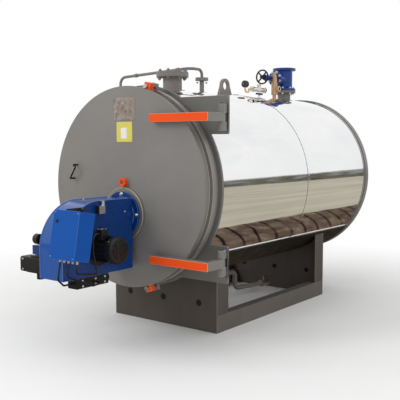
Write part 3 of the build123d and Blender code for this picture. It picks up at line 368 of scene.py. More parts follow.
# Black for the plugs that stand for the shade seen through the base's pipe holes.
plug_shade_black = smooth_plastic("plug_shade_black", shade(24, 23, 22), 0.7)
warm_glass = smooth_plastic("warm_glass", shade(150, 50, 26), 0.2, coat=1.0)
# Dark purple-grey for the line along the cladding seam: painted shade of the lap seam.
seam_shadow_paint = smooth_plastic("seam_shadow_paint", shade(92, 84, 88), 0.6)
# Dark red painted shade for the inside of the safety valve's bore.
dark_red_bore_shade = smooth_plastic("dark_red_bore_shade", shade(92, 30, 24), 0.5)
yellow_film = smooth_plastic("yellow_film", shade(216, 204, 92), 0.35, 0.05)
pale_film = smooth_plastic("pale_film", shade(232, 230, 226), 0.4, 0.03)
green_gasket = smooth_plastic("green_gasket", shade(96, 116, 98), 0.7)
name_sheet = stained_plate("name_sheet", shade(112, 84, 76), shade(150, 136, 126), shade(166, 158, 150),
                           shade(216, 208, 198))
mineral_wool = mineral("mineral_wool", shade(150, 134, 92), shade(204, 190, 140), 26, (1, 4, 1))
refractory = mineral("refractory", shade(186, 174, 152), shade(222, 213, 194), 40, bump=0.4, depth=0.003)
gasket_rope = mineral("gasket_rope", shade(200, 193, 176), shade(234, 229, 216), 140, bump=0.5, depth=0.002)
weld_metal = enamel("weld_metal", shade(124, 120, 116), 0.3, mottle=0.2)
plate_steel = sooted_steel("plate_steel", shade(104, 92, 84), shade(48, 44, 42))
flame_steel = sooted_steel("flame_steel", shade(74, 66, 62), shade(26, 25, 25))

plain_finishes = {
    grey_enamel: ("rear_cover", "flue_outlet", "end_trim"),
    fitting_enamel: ("vent_nozzle", "vent_line"),
    belly_enamel_and_shade: ("belly_sheet",),
    mirror_sheet: ("front_cladding", "rear_cladding"),
    trim_sheet: ("cladding_trim",),
    plate_steel: ("pressure_shell", "front_tube_sheet", "rear_tube_sheet", "smoke_box"),
    flame_steel: ("furnace_tube", "furnace_back", "smoke_tubes", "blast_tube"),
    zinc_steel: ("latch_bolts",),
    pin_steel: ("hinge_pins",),
    mineral_wool: ("insulation",),
    refractory: ("door_lining",),
    gasket_rope: ("door_gasket",),
    black_plastic: ("burner_conduits",),
}
for material, names in plain_finishes.items():
    for name in names:
        data = nodes[name].data
        data.materials.clear()
        data.materials.append(material)


# Pieces made from copies of the solids

merge_distance, flat_angle = 0.00001, radians(0.4)
sharp_angle, bevel_angle = radians(30), radians(40)


def placed(name, mesh, body, slot, *replaced):
    """Adds a finished mesh as a piece of the object."""
    mesh.name = name
    piece = bpy.data.objects.new(name, mesh)
    bpy.context.scene.collection.objects.link(piece)
    if replaced:
        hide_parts(*replaced)
    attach(piece, body)


def as_plain_mesh(name, data, *modifiers):
    """Applies modifiers, given as (kind, settings), and returns a plain mesh."""
    item = bpy.data.objects.new(name + "_work", data)
    bpy.context.scene.collection.objects.link(item)
    for kind, settings in modifiers:
        modifier = item.modifiers.new(kind.lower(), kind)
        for key, value in settings.items():
            if kind == "NODES" and key != "node_group":
                modifier[key] = value
            else:
                setattr(modifier, key, value)
    bpy.context.view_layer.update()
    ready = item.evaluated_get(bpy.context.evaluated_depsgraph_get())
    mesh = bpy.data.meshes.new_from_object(ready)
    item.modifiers.clear()
    bpy.data.objects.remove(item)
    return mesh


def merged_copy(node):
    """Copy of a solid's mesh with its corners merged and its flat faces whole."""
    data = nodes[node].data.copy()
    if "custom_normal" in data.attributes:
        data.attributes.remove(data.attributes["custom_normal"])
    work = bmesh.new()
    work.from_mesh(data)
    bmesh.ops.remove_doubles(work, verts=work.verts, dist=merge_distance)
    bmesh.ops.dissolve_limit(work, angle_limit=flat_angle, verts=work.verts, edges=work.edges)
    work.to_mesh(data)
    work.free()
    data.materials.clear()
    return data


def dressed(node, slot, finishes, edge=None, width=0.0015, pick=None):
    """Stands for a solid: edges eased and given the edge finish, mostly a lighter painted highlight, and
    faces given their finish by place.
    """
    data = merged_copy(node)
    for finish in finishes + ([edge] if edge else []):
        data.materials.append(finish)
    data.polygons.foreach_set("material_index", [0] * len(data.polygons))
    data.polygons.foreach_set("use_smooth", [True] * len(data.polygons))
    if edge:
        easing = {"width": width, "segments": 1, "limit_method": "ANGLE", "angle_limit": bevel_angle,
                  "harden_normals": True, "material": len(finishes), "use_clamp_overlap": True}
        mesh = as_plain_mesh(node, data, ("BEVEL", easing))
    else:
        mesh = as_plain_mesh(node, data)
        mesh.set_sharp_from_angle(angle=sharp_angle)
    if pick:
        for face in mesh.polygons:
            if face.material_index < len(finishes):
                face.material_index = pick(face.center, face.normal)
    placed(node + "_piece", mesh, nodes[node]["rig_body"], slot, node)


# Node: (slot, finish, edge finish, mostly a lighter painted highlight, edge width)
edge_finishes = {
    "ear_plate": ("grey_paint", ear_enamel, base_edge_highlight, 0.003),
    "body_flange": ("grey_paint", grey_enamel, grey_edge_highlight, 0.003),
    "hinge_barrels": ("grey_paint", grey_enamel, grey_edge_highlight, 0.003),
    "latch_lugs": ("grey_paint", grey_enamel, grey_edge_highlight, 0.0015),
    "door_plate": ("grey_paint", grey_enamel, grey_edge_highlight, 0.004),
    "door_rim": ("grey_paint", grey_enamel, grey_edge_highlight, 0.0015),
    "hinge_arms": ("grey_paint", grey_enamel, grey_edge_highlight, 0.003),
    "arm_covers": ("orange_paint", orange_enamel, orange_edge_highlight, 0.0022),
    "latch_blocks": ("orange_paint", orange_enamel, orange_edge_highlight, 0.0015),
    "lifting_lug": ("grey_paint", fitting_enamel, grey_edge_highlight, 0.0015),
    "front_nozzle": ("grey_paint", fitting_enamel, grey_edge_highlight, 0.0015),
    "blind_flange": ("grey_paint", fitting_enamel, grey_edge_highlight, 0.0015),
    "base_front_plate": ("grey_paint", shaded_base_enamel, base_edge_highlight, 0.002),
    "base_rear_plate": ("grey_paint", shaded_base_enamel, base_edge_highlight, 0.002),
    "base_rails": ("grey_paint", lit_rail_enamel, base_edge_highlight, 0.003),
    "base_posts": ("grey_paint", shaded_base_enamel, base_edge_highlight, 0.002),
    "burner_collar": ("bare_steel", collar_steel, collar_edge_highlight, 0.003),
    "burner_flange": ("blue_paint", blue_enamel, blue_edge_highlight, 0.0012),
    "control_box": ("blue_paint", box_enamel, blue_edge_highlight, 0.002),
    "panel_bracket": ("blue_paint", blue_enamel, blue_edge_highlight, 0.001),
    "motor_cowl": ("black_casting", motor_black, grey_casting_and_highlight, 0.0012),
    "outlet_handwheel": ("black_casting", black_casting, grey_casting_and_highlight, 0.0006),
    "outlet_valve": ("blue_casting", valve_blue, blue_edge_highlight, 0.0015),
    "outlet_nozzle": ("grey_paint", fitting_enamel, green_gasket, 0.002),
    "name_plate": ("plate_metal", name_sheet, pale_brass, 0.0004),
    "notice_tag": ("yellow_sheet", yellow_film, pale_film, 0.0003),
    "cable_glands": ("bright_steel", pale_brass, zinc_steel, 0.0004),
}
for node, (slot, finish, edge, width) in edge_finishes.items():
    dressed(node, slot, [finish], edge, width)

switch_foot, switch_cap_front = 0.9, 0.014
switch_cap_y = middle("motor_cowl").y - switch_cap_front


def gas_trim_finish(point, normal):
    """Black valve train below. On the housing's side a bright switch with a black cap."""
    if point.z < switch_foot:
        return 0
    return 2 if point.y < switch_cap_y else 1


dressed("gas_trim_block", "black_casting", [black_casting, chrome_steel, black_plastic], pick=gas_trim_finish)

intake_low, intake_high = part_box("air_intake")
hood_height, knob_reach = 0.081, 0.215
hood_top, knob_front = intake_low.z + hood_height, intake_high.y - knob_reach


def intake_finish(point, normal):
    """Blue hood with a black disc above it, and a blue lever with a black knob on the other side."""
    if point.x < 0:
        return 1 if point.z > hood_top else 0
    return 1 if point.y > knob_front else 0


dressed("air_intake", "blue_paint", [blue_enamel, black_plastic], blue_edge_highlight, 0.0008, intake_finish)

plug_end, gauge_low, gauge_back = 0.21, 2.165, 0.37
manifold_front, manifold_top = 0.457, 2.188
lever_inner, lever_z, lever_half = 0.0335, 2.108, 0.0095


def top_finish(point, normal):
    """Zinc plug, black gauge, brass siphon, chrome manifold with a black lever, brass air vent."""
    if point.y < plug_end:
        return 0
    if point.z > gauge_low and point.y < gauge_back:
        return 1
    if point.y < manifold_front:
        return 2
    if point.x > lever_inner and abs(point.z - lever_z) < lever_half:
        return 1
    return 2 if point.z > manifold_top else 3


fitting_finishes = [zinc_steel, black_plastic, pale_brass, chrome_steel]
dressed("top_fittings", "bright_steel", fitting_finishes, pick=top_finish)

relief_ring, relief_bore, relief_bore_depth = 0.012, 0.014, 0.030
relief_ring_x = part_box("safety_valve")[1].x - relief_ring
relief_y, relief_z = middle("safety_valve").y, 2.172


def relief_valve_finish(point, normal):
    """Bronze body with a pale outlet ring, and dark red painted shade inside the bore."""
    if point.x > relief_ring_x:
        return 1
    inside = abs(point.y - relief_y) < relief_bore and abs(point.z - relief_z) < relief_bore
    return 2 if inside and point.x > relief_ring_x - relief_bore_depth else 0


dressed("safety_valve", "brass_metal", [dull_bronze, pale_brass, dark_red_bore_shade], pick=relief_valve_finish)

drain_valve_reach = 0.222
drain_valve_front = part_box("drain_line")[1].y - drain_valve_reach


def drain_finish(point, normal):
    """Painted pipe, bright valve and lever."""
    return 1 if point.y > drain_valve_front else 0


dressed("drain_line", "grey_paint", [fitting_enamel, zinc_steel], pick=drain_finish)

sight_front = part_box("sight_glass")[0].y
glass_low, glass_high = 0.004, 0.009


def sight_finish(point, normal):
    """Orange frame round a warm glass, set in behind its front."""
    return 1 if normal.y < -0.9 and glass_low < point.y - sight_front < glass_high else 0


dressed("sight_glass", "orange_paint", [orange_enamel, warm_glass], orange_edge_highlight, 0.0008, sight_finish)


def housing_finish(point, normal):
    """Side plates in the darker blue as painted shade, and the glossier wrap between them in a lighter blue
    as painted light.
    """
    return 0 if abs(normal.x) > 0.9 else 1


dressed("burner_housing", "blue_paint", [blue_enamel, lit_wrap_enamel], blue_edge_highlight, 0.002, housing_finish)


def handle_finish(point, normal):
    """Black handle, with its faces towards -X in bright steel as a painted highlight on its left side."""
    return 1 if normal.x < -0.3 else 0


dressed("door_handle", "black_casting", [black_casting, zinc_steel], pick=handle_finish)

gas_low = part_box("gas_valve")[0]
joint_depth = 0.002


def gas_valve_finish(point, normal):
    """Black block with a tinned joint face on its open end."""
    return 1 if normal.x < -0.9 and point.x < gas_low.x + joint_depth else 0


dressed("gas_valve", "black_casting", [black_casting, joint_face], grey_casting_and_highlight, 0.0012, gas_valve_finish)

lid_margin = 0.02
terminal_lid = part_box("fan_motor")[1].z - lid_margin


def motor_finish(point, normal):
    """Black motor. The upward faces of its terminal box lid are pale grey: a painted highlight."""
    return 1 if point.z > terminal_lid and normal.z > 0.5 else 0


dressed("fan_motor", "black_casting", [motor_black, grey_casting_and_highlight], grey_casting_and_highlight, 0.0008, motor_finish)


# Fasteners and beads by geometry nodes

def start_tree(name, sizes):
    """Geometry tree with a mesh input, named sizes, a finish and a geometry output."""
    tree = bpy.data.node_groups.new(name, "GeometryNodeTree")
    add = tree.interface.new_socket
    add(name="Places", in_out="INPUT", socket_type="NodeSocketGeometry")
    for title, value in sizes.items():
        add(name=title, in_out="INPUT", socket_type="NodeSocketFloat").default_value = value
    add(name="Finish", in_out="INPUT", socket_type="NodeSocketMaterial")
    add(name="Piece", in_out="OUTPUT", socket_type="NodeSocketGeometry")
    return tree, tree.nodes.new("NodeGroupInput"), tree.nodes.new("NodeGroupOutput")


def finish_tree(tree, group_in, group_out, geometry):
    """Realizes the instances, gives them their finish and ends the tree."""
    real = tree.nodes.new("GeometryNodeRealizeInstances")
    finish = tree.nodes.new("GeometryNodeSetMaterial")
    filled(tree, real, Geometry=geometry)
    filled(tree, finish, Geometry=real.outputs["Geometry"], Material=group_in.outputs["Finish"])
    filled(tree, group_out, Piece=finish.outputs["Geometry"])
    return tree


def raised(tree, mesh, height):
    """Moves a mesh up by a height."""
    lift = tree.nodes.new("ShaderNodeCombineXYZ")
    move = tree.nodes.new("GeometryNodeTransform")
    filled(tree, lift, Z=height)
    filled(tree, move, Geometry=mesh, Translation=lift.outputs["Vector"])
    return move.outputs["Geometry"]


def on_points(tree, group_in, shape):
    """Puts a shape on the points of the first input, with its Z along their axis."""
    axis = tree.nodes.new("GeometryNodeInputNamedAttribute")
    axis.data_type = "FLOAT_VECTOR"
    align = tree.nodes.new("FunctionNodeAlignRotationToVector")
    align.axis = "Z"
    scatter = tree.nodes.new("GeometryNodeInstanceOnPoints")
    filled(tree, axis, Name="axis")
    filled(tree, align, Vector=axis.outputs["Attribute"])
    filled(tree, scatter, Points=group_in.outputs["Places"], Instance=shape,
           Rotation=align.outputs["Rotation"])
    return scatter.outputs["Instances"]


def cone_part(tree, low, high, depth, sides, base=None):
    """Upright cone with sockets for its radii and depth, standing on a base height."""
    cone = tree.nodes.new("GeometryNodeMeshCone")
    filled(tree, cone, Vertices=sides, Radius_Bottom=low, Radius_Top=high, Depth=depth)
    return raised(tree, cone.outputs["Mesh"], base) if base else cone.outputs["Mesh"]


# Shares of the head's height, and of its radius at the top of the chamfer
straight_share, chamfer_share, chamfer_top = 0.82, 0.18, 0.86
washer_sides, hexagon, stud_sides, rivet_sides = 20, 6, 10, 12


def bolt_tree():
    """Washer, hexagon with a chamfered top, and a stud end, at every point along its axis."""
    tree, group_in, group_out = start_tree("bolts", {
        "Head Radius": 0.012, "Head Height": 0.009, "Washer Radius": 0.016, "Washer Thickness": 0.002,
        "Stud Radius": 0.007, "Stud Height": 0.004})
    out = group_in.outputs
    washer, thick = out["Washer Radius"], out["Washer Thickness"]
    head, stud = out["Head Radius"], out["Stud Radius"]
    straight = times(tree, out["Head Height"], straight_share)
    chamfer = times(tree, out["Head Height"], chamfer_share)
    chamfer_base = calculated(tree, "ADD", thick, straight)
    stud_base = calculated(tree, "ADD", thick, out["Head Height"])
    join = tree.nodes.new("GeometryNodeJoinGeometry")
    for part in (
            cone_part(tree, washer, washer, thick, washer_sides),
            cone_part(tree, head, head, straight, hexagon, thick),
            cone_part(tree, head, times(tree, head, chamfer_top), chamfer, hexagon, chamfer_base),
            cone_part(tree, stud, stud, out["Stud Height"], stud_sides, stud_base)):
        filled(tree, join, Geometry=part)
    return finish_tree(tree, group_in, group_out, on_points(tree, group_in, join.outputs["Geometry"]))


rivet_top = 0.55


def rivet_tree():
    """Low round head at every point, along the point's axis."""
    tree, group_in, group_out = start_tree("rivets", {"Head Radius": 0.004, "Head Height": 0.002})
    radius, height = group_in.outputs["Head Radius"], group_in.outputs["Head Height"]
    head = cone_part(tree, radius, times(tree, radius, rivet_top), height, rivet_sides)
    return finish_tree(tree, group_in, group_out, on_points(tree, group_in, head))


# A bead's ripple is thin at one step and thick at the next.
thin_share, ripple_share, bead_sides = 0.86, 0.22, 8


def bead_tree():
    """Weld bead along the edges of a path, with its ripples."""
    tree, group_in, group_out = start_tree("bead", {"Radius": 0.004, "Ripple": 0.006})
    curve = tree.nodes.new("GeometryNodeMeshToCurve")
    even = tree.nodes.new("GeometryNodeResampleCurve")
    even.mode = "LENGTH"
    index = tree.nodes.new("GeometryNodeInputIndex")
    ring = tree.nodes.new("GeometryNodeCurvePrimitiveCircle")
    sweep = tree.nodes.new("GeometryNodeCurveToMesh")
    filled(tree, curve, Mesh=group_in.outputs["Places"])
    filled(tree, even, Curve=curve.outputs["Curve"], Length=times(tree, group_in.outputs["Ripple"], 0.5))
    every_other = calculated(tree, "MODULO", index.outputs["Index"], 2.0)
    swell = calculated(tree, "ADD", times(tree, every_other, ripple_share), thin_share)
    filled(tree, ring, Resolution=bead_sides, Radius=group_in.outputs["Radius"])
    filled(tree, sweep, Curve=even.outputs["Curve"], Profile_Curve=ring.outputs["Curve"], Scale=swell,
           Fill_Caps=True)
    return finish_tree(tree, group_in, group_out, sweep.outputs["Mesh"])


bolts, rivets, bead = bolt_tree(), rivet_tree(), bead_tree()


def grown(name, tree, data, values, body, slot):
    """Runs a geometry tree on a mesh and keeps the result as a plain mesh that rides on a body."""
    settings = {"node_group": tree}
    for item in tree.interface.items_tree:
        if item.in_out == "INPUT" and item.name in values:
            settings[item.identifier] = values[item.name]
    placed(name, as_plain_mesh(name, data, ("NODES", settings)), body, slot)


def fasteners(name, tree, places, values, body, slot):
    """Fasteners at (point, axis) places."""
    data = bpy.data.meshes.new(name)
    data.from_pydata([tuple(point) for point, axis in places], [], [])
    axis_data = data.attributes.new("axis", "FLOAT_VECTOR", "POINT")
    axis_data.data.foreach_set("vector", [value for point, axis in places for value in axis])
    grown(name, tree, data, values, body, slot)


def bolt_set(name, places, finish, body, slot, thread, stud=0.25):
    """Hexagon bolts. All their sizes are shares of the thread's diameter."""
    fasteners(name, bolts, places, {
        "Head Radius": 0.92 * thread, "Head Height": 0.65 * thread, "Washer Radius": 1.2 * thread,
        "Washer Thickness": 0.15 * thread, "Stud Radius": 0.5 * thread, "Stud Height": stud * thread,
        "Finish": finish}, body, slot)


def rivet_set(name, places, finish, body, slot, radius, height=0.45):
    """Rivets or screw heads. Their height is a share of their radius."""
    values = {"Head Radius": radius, "Head Height": height * radius, "Finish": finish}
    fasteners(name, rivets, places, values, body, slot)


def ring_places(centre, axis, radius, count, turn=0.0):
    """Places evenly round a circle, all along its axis. A turn of 1 is one step."""
    side = hinge_side if abs(axis.z) > 0.9 else upward
    other = axis.cross(side)
    places = []
    for i in range(count):
        angle = 2 * pi * (i + turn) / count
        places.append((Vector(centre) + radius * (cos(angle) * side + sin(angle) * other), axis))
    return places


def joint_places(y, top, bottom, radius, count):
    """Bolt heads on top of a level flange joint and nuts under it, half a step off its axis."""
    heads = ring_places((0, y, top), upward, radius, count, turn=0.5)
    return heads + ring_places((0, y, bottom), -upward, radius, count, turn=0.5)


def beads(name, paths, radius, finish, body, slot):
    """Weld beads along point lists. A path is (points, closed)."""
    verts, edges = [], []
    for points, closed in paths:
        first = len(verts)
        verts += [tuple(p) for p in points]
        edges += [(first + i, first + i + 1) for i in range(len(points) - 1)]
        if closed:
            edges.append((len(verts) - 1, first))
    data = bpy.data.meshes.new(name)
    data.from_pydata(verts, edges, [])
    grown(name, bead, data, {"Radius": radius, "Ripple": 3 * radius, "Finish": finish}, body, slot)


def circle_path(centre, radius, axis="Y", count=72):
    """Closed path round a circle."""
    points = []
    for i in range(count):
        a = 2 * pi * i / count
        offset = {"Y": (cos(a), 0, sin(a)), "Z": (cos(a), sin(a), 0)}[axis]
        points.append(Vector(centre) + radius * Vector(offset))
    return points, True


def straight_path(start, end, steps):
    """Open path of even steps between two points."""
    reach = Vector(end) - Vector(start)
    return [Vector(start) + reach * share for share in shares(steps + 1)], False


def on_cladding(angle, y, rise=0.0):
    """Point and outward axis on the cladding. The angle is from the top, towards the hinge side."""
    outward = Vector((sin(angle), 0, cos(angle)))
    return Vector((0, y, axis_z)) + (cladding_radius + rise) * outward, outward


# Bolts of the blind flange, the outlet valve, the vent and the clean-out door

cladding_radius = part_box("front_cladding")[1].x
blind_low, blind_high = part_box("blind_flange")
nozzle_y = middle("blind_flange").y
nozzle_neck = 2 * blind_low.z - blind_high.z
blind_circle = 0.12
places = joint_places(nozzle_y, blind_high.z, nozzle_neck, blind_circle, count=8)
bolt_set("nozzle_bolts", places, fitting_enamel, "boiler", "grey_paint", thread=0.018, stud=0.5)

valve_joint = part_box("outlet_valve")[0].z
outlet_y = middle("outlet_nozzle").y
wheel_z = middle("outlet_handwheel").z
valve_flange, outlet_circle = 0.024, 0.105
bonnet_front, bonnet_circle = 0.202, 0.068
valve_top, valve_bottom = valve_joint + valve_flange, valve_joint - valve_flange
places = joint_places(outlet_y, valve_top, valve_bottom, outlet_circle, count=8)
places += ring_places((0, outlet_y - bonnet_front, wheel_z), forward, bonnet_circle, count=8, turn=0.5)
bolt_set("valve_bolts", places, zinc_steel, "boiler", "bright_steel", thread=0.0135, stud=0.5)

vent_y = middle("vent_nozzle").y
vent_flange, vent_circle = 0.014, 0.043
vent_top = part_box("vent_nozzle")[1].z
places = joint_places(vent_y, vent_top, vent_top - 2 * vent_flange, vent_circle, count=4)
bolt_set("vent_bolts", places, fitting_enamel, "boiler", "grey_paint", thread=0.01, stud=0.5)

cover_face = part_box("rear_cover")[0].y
cleanout_drop, cleanout_depth, cleanout_circle = 0.33, 0.026, 0.148
cleanout_z = axis_z - cleanout_drop
cleanout_centre = (0, cover_face + cleanout_depth, cleanout_z)
places = ring_places(cleanout_centre, rearward, cleanout_circle, count=8, turn=0.5)
bolt_set("cleanout_bolts", places, zinc_steel, "boiler", "bright_steel", thread=0.012, stud=0.4)

# Bolts of the burner's flange, of its housing and of the valve train
burner_z = middle("burner_collar").z
flange_inset, burner_circle = 0.010, 0.163
flange_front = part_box("burner_flange")[0].y + flange_inset
places = ring_places((0, flange_front, burner_z), forward, burner_circle, count=4)
bolt_set("burner_bolts", places, chrome_steel, "door", "bright_steel", thread=0.015, stud=0.3)

housing_low, housing_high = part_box("burner_housing")
train_backs, train_drops = (0.196, 0.326, 0.426), (0.020, 0.062)
neck_front, neck_rises = 0.088, (0.128, 0.468)
lid_x, lid_fronts, lid_sink = 0.1, (0.037, 0.317), 0.006
places = [(Vector((housing_high.x, housing_low.y + back, housing_low.z - drop)), hinge_side)
          for back in train_backs for drop in train_drops]
places += [(Vector((housing_high.x, housing_high.y - neck_front, housing_low.z + rise)), hinge_side)
           for rise in neck_rises]
places += [(Vector((x, housing_high.y - front, housing_high.z - lid_sink)), upward)
           for x in (-lid_x, lid_x) for front in lid_fronts]
bolt_set("train_bolts", places, chrome_steel, "door", "bright_steel", thread=0.0075)

gas_rise, gas_side, gas_spacing, gas_reach, gas_skin = 0.11, 0.03, 0.04, 0.042, 0.001
gas_y, gas_z = middle("gas_valve").y, gas_low.z + gas_rise
places = [(Vector((gas_low.x + gas_side, gas_low.y + gas_skin, gas_z + side * gas_spacing)), forward)
          for side in (-1, 1)]
places += [(Vector((gas_low.x, gas_y + y, gas_z + z)), -hinge_side)
           for y in (-gas_reach, gas_reach) for z in (-gas_reach, gas_reach)]
bolt_set("gas_bolts", places, zinc_steel, "door", "bright_steel", thread=0.008)

# Welds of the nozzles and of the hinge arms
weld_radius, weld_gap = 0.004, 0.001
nozzle_weld, outlet_weld = 0.0855, 0.0715
paths = [circle_path((0, nozzle_y, nozzle_neck - weld_gap), nozzle_weld, "Z"),
         circle_path((0, outlet_y, valve_joint - valve_flange - weld_gap), outlet_weld, "Z")]
beads("nozzle_welds", paths, weld_radius, weld_metal, "boiler", "grey_paint")

door_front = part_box("door_plate")[0].y
arm_low, arm_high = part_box("hinge_arms")
arm_height, door_reach = 0.065, 0.82
paths = []
for z in (arm_low.z, arm_low.z + arm_height, arm_high.z - arm_height, arm_high.z):
    end_x = sqrt(door_reach ** 2 - (z - axis_z) ** 2)
    paths.append(straight_path((arm_low.x, door_front, z), (end_x, door_front, z), steps=12))
for z in (arm_low.z, arm_high.z - arm_height):
    paths.append(straight_path((arm_low.x, door_front, z), (arm_low.x, door_front, z + arm_height), steps=6))
beads("arm_welds", paths, weld_radius, weld_metal, "door", "grey_paint")


# Small pieces

def added_block(work, centre, size):
    """Adds a block to a mesh and returns its corners."""
    corners = bmesh.ops.create_cube(work, size=1.0)["verts"]
    bmesh.ops.scale(work, vec=Vector(size), verts=corners)
    bmesh.ops.translate(work, vec=Vector(centre), verts=corners)
    return corners


def blocks(name, items, bevel, finish, body, slot):
    """Bevelled blocks, given as (centre, size)."""
    work = bmesh.new()
    for centre, size in items:
        added_block(work, centre, size)
    data = bpy.data.meshes.new(name)
    work.to_mesh(data)
    work.free()
    data.materials.append(finish)
    settings = {"width": bevel, "segments": 2, "limit_method": "ANGLE", "use_clamp_overlap": True}
    placed(name, as_plain_mesh(name, data, ("BEVEL", settings)), body, slot)


turned_sides = 32


def turnings(name, places, outline, finishes, body, slot, bands=None):
    """Turned parts at their places. The outline is (radius, height) points, and bands number its finishes."""
    work = bmesh.new()
    for place in places:
        rings = []
        for radius, height in outline:
            angles = [2 * pi * i / turned_sides for i in range(turned_sides if radius else 1)]
            spots = [place @ Vector((radius * cos(a), radius * sin(a), height)) for a in angles]
            rings.append([work.verts.new(spot) for spot in spots])
        for step, (low, high) in enumerate(zip(rings, rings[1:])):
            for i in range(turned_sides):
                j = (i + 1) % turned_sides
                corners = (low[i % len(low)], low[j % len(low)], high[j % len(high)], high[i % len(high)])
                face = work.faces.new(list(dict.fromkeys(corners)))
                face.material_index = bands[step] if bands else 0
                face.smooth = True
    bmesh.ops.recalc_face_normals(work, faces=work.faces)
    data = bpy.data.meshes.new(name)
    work.to_mesh(data)
    work.free()
    for finish in finishes:
        data.materials.append(finish)
    data.set_sharp_from_angle(angle=sharp_angle)
    placed(name, data, body, slot)


def facing(point, axis):
    """Place at a point with its Z along an axis."""
    return Matrix.Translation(Vector(point)) @ Vector(axis).to_track_quat("Z", "Y").to_matrix().to_4x4()


# Rivets of the cladding: two rows over the seam, one on each end band and one along each lower edge
trim_low, trim_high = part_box("cladding_trim")
seam_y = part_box("front_cladding")[1].y
last_angle = radians(131.0)
row_count, row_margin, row_rise = 77, 0.02, 0.002
seam_row, band_row = 0.011, 0.007
edge_count, edge_margin, edge_inset, edge_rise = 20, 0.06, 0.004, 0.005
places = []
for y in (seam_y - seam_row, seam_y + seam_row, trim_low.y + band_row, trim_high.y - band_row):
    places += [on_cladding((2 * share - 1) * (last_angle - row_margin), y, row_rise)
               for share in shares(row_count)]
for side in (-1, 1):
    for share in shares(edge_count):
        y = trim_low.y + edge_margin + share * (trim_high.y - trim_low.y - 2 * edge_margin)
        places.append(on_cladding(side * (last_angle - edge_inset), y, edge_rise))
rivet_set("cladding_rivets", places, zinc_steel, "boiler", "bright_steel", radius=0.0028)

# Dark bead along the seam band, standing for the lap seam's shadow line: painted shade
shadow_line_offset, shadow_line_rise, shadow_line_radius, shadow_line_count = 0.0185, 0.0004, 0.0017, 121
shadow_line_points = [on_cladding((2 * share - 1) * last_angle, seam_y - shadow_line_offset, shadow_line_rise)[0]
        for share in shares(shadow_line_count)]
beads("seam_shadow_line", [(shadow_line_points, False)], shadow_line_radius, seam_shadow_paint, "boiler", "grey_paint")

# Rivets and rim of the name plate, and the bare panel of the notice
sheet_low, sheet_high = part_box("name_plate")
tag_low, tag_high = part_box("notice_tag")
sheet_inset, tag_inset = 0.009, 0.008
places = []
for low, high, inset in ((sheet_low, sheet_high, sheet_inset), (tag_low, tag_high, tag_inset)):
    places += [(Vector((x, low.y, z)), forward) for x in (low.x + inset, high.x - inset)
               for z in (low.z + inset, high.z - inset)]
rivet_set("plate_rivets", places, zinc_steel, "door", "bright_steel", radius=0.004, height=0.4)

rim_inset, rim_width, rim_depth, rim_rise, rim_bevel = 0.018, 0.003, 0.0008, 0.0002, 0.0002
rim_size = sheet_high - sheet_low - 2 * Vector((rim_inset, 0, rim_inset))
centre = Vector((middle("name_plate").x, sheet_low.y - rim_rise, middle("name_plate").z))
strips = [(centre + side * upward * rim_size.z / 2, (rim_size.x, rim_depth, rim_width))
          for side in (-1, 1)]
strips += [(centre + side * hinge_side * rim_size.x / 2, (rim_width, rim_depth, rim_size.z))
           for side in (-1, 1)]
blocks("plate_border", strips, rim_bevel, border_tin, "door", "plate_metal")

panel_size, panel_bevel = (0.064, 0.0010, 0.088), 0.0003
panel_shift = Vector((-0.006, -0.0004, -0.010))
centre = Vector((middle("notice_tag").x, tag_low.y, middle("notice_tag").z)) + panel_shift
blocks("notice_panel", [(centre, panel_size)], panel_bevel, pale_film, "door", "plate_metal")

# Lock and screws of the control box lid, screws of the terminal box and the cowl
box_centre, box_lean = Vector((0.2705, -2.256, 0.95)), radians(-10.7)
box_place = Matrix.Translation(box_centre) @ Matrix.Rotation(box_lean, 4, "X")
lid_face, lock_x, lock_z = -0.075, -0.0905, 0.094
lid_screw_x, lid_screw_z = 0.116, 0.158
lock_outline = ((0, 0.0035), (0.004, 0.0035), (0.004, 0.006), (0.0115, 0.006), (0.0125, 0.005),
                (0.0125, -0.001), (0, -0.001))
lock_place = box_place @ Matrix.Translation((lock_x, lid_face, lock_z)) @ Matrix.Rotation(pi / 2, 4, "X")
turnings("box_lock", [lock_place], lock_outline, [black_plastic], "door", "black_casting")

places = [(box_place @ Vector((x, lid_face, z)), box_place.to_3x3() @ forward)
          for x in (-lid_screw_x, lid_screw_x) for z in (-lid_screw_z, lid_screw_z)]
terminal = Vector((0.22, -1.913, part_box("fan_motor")[1].z))
terminal_screw_x, terminal_screw_y = 0.021, 0.023
places += [(terminal + Vector((x, y, 0)), upward)
           for x in (-terminal_screw_x, terminal_screw_x) for y in (-terminal_screw_y, terminal_screw_y)]
cowl_low, cowl_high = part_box("motor_cowl")
cowl_screw_inset = 0.012
cowl_centre = Vector((cowl_low.x + cowl_screw_inset, middle("motor_cowl").y, middle("motor_cowl").z))
for i in range(4):
    outward = Vector((0, cos(pi * (i + 0.5) / 2), sin(pi * (i + 0.5) / 2)))
    places.append((cowl_centre + (cowl_high.z - cowl_centre.z) * outward, outward))
rivet_set("cover_screws", places, zinc_steel, "door", "bright_steel", radius=0.0042, height=0.6)

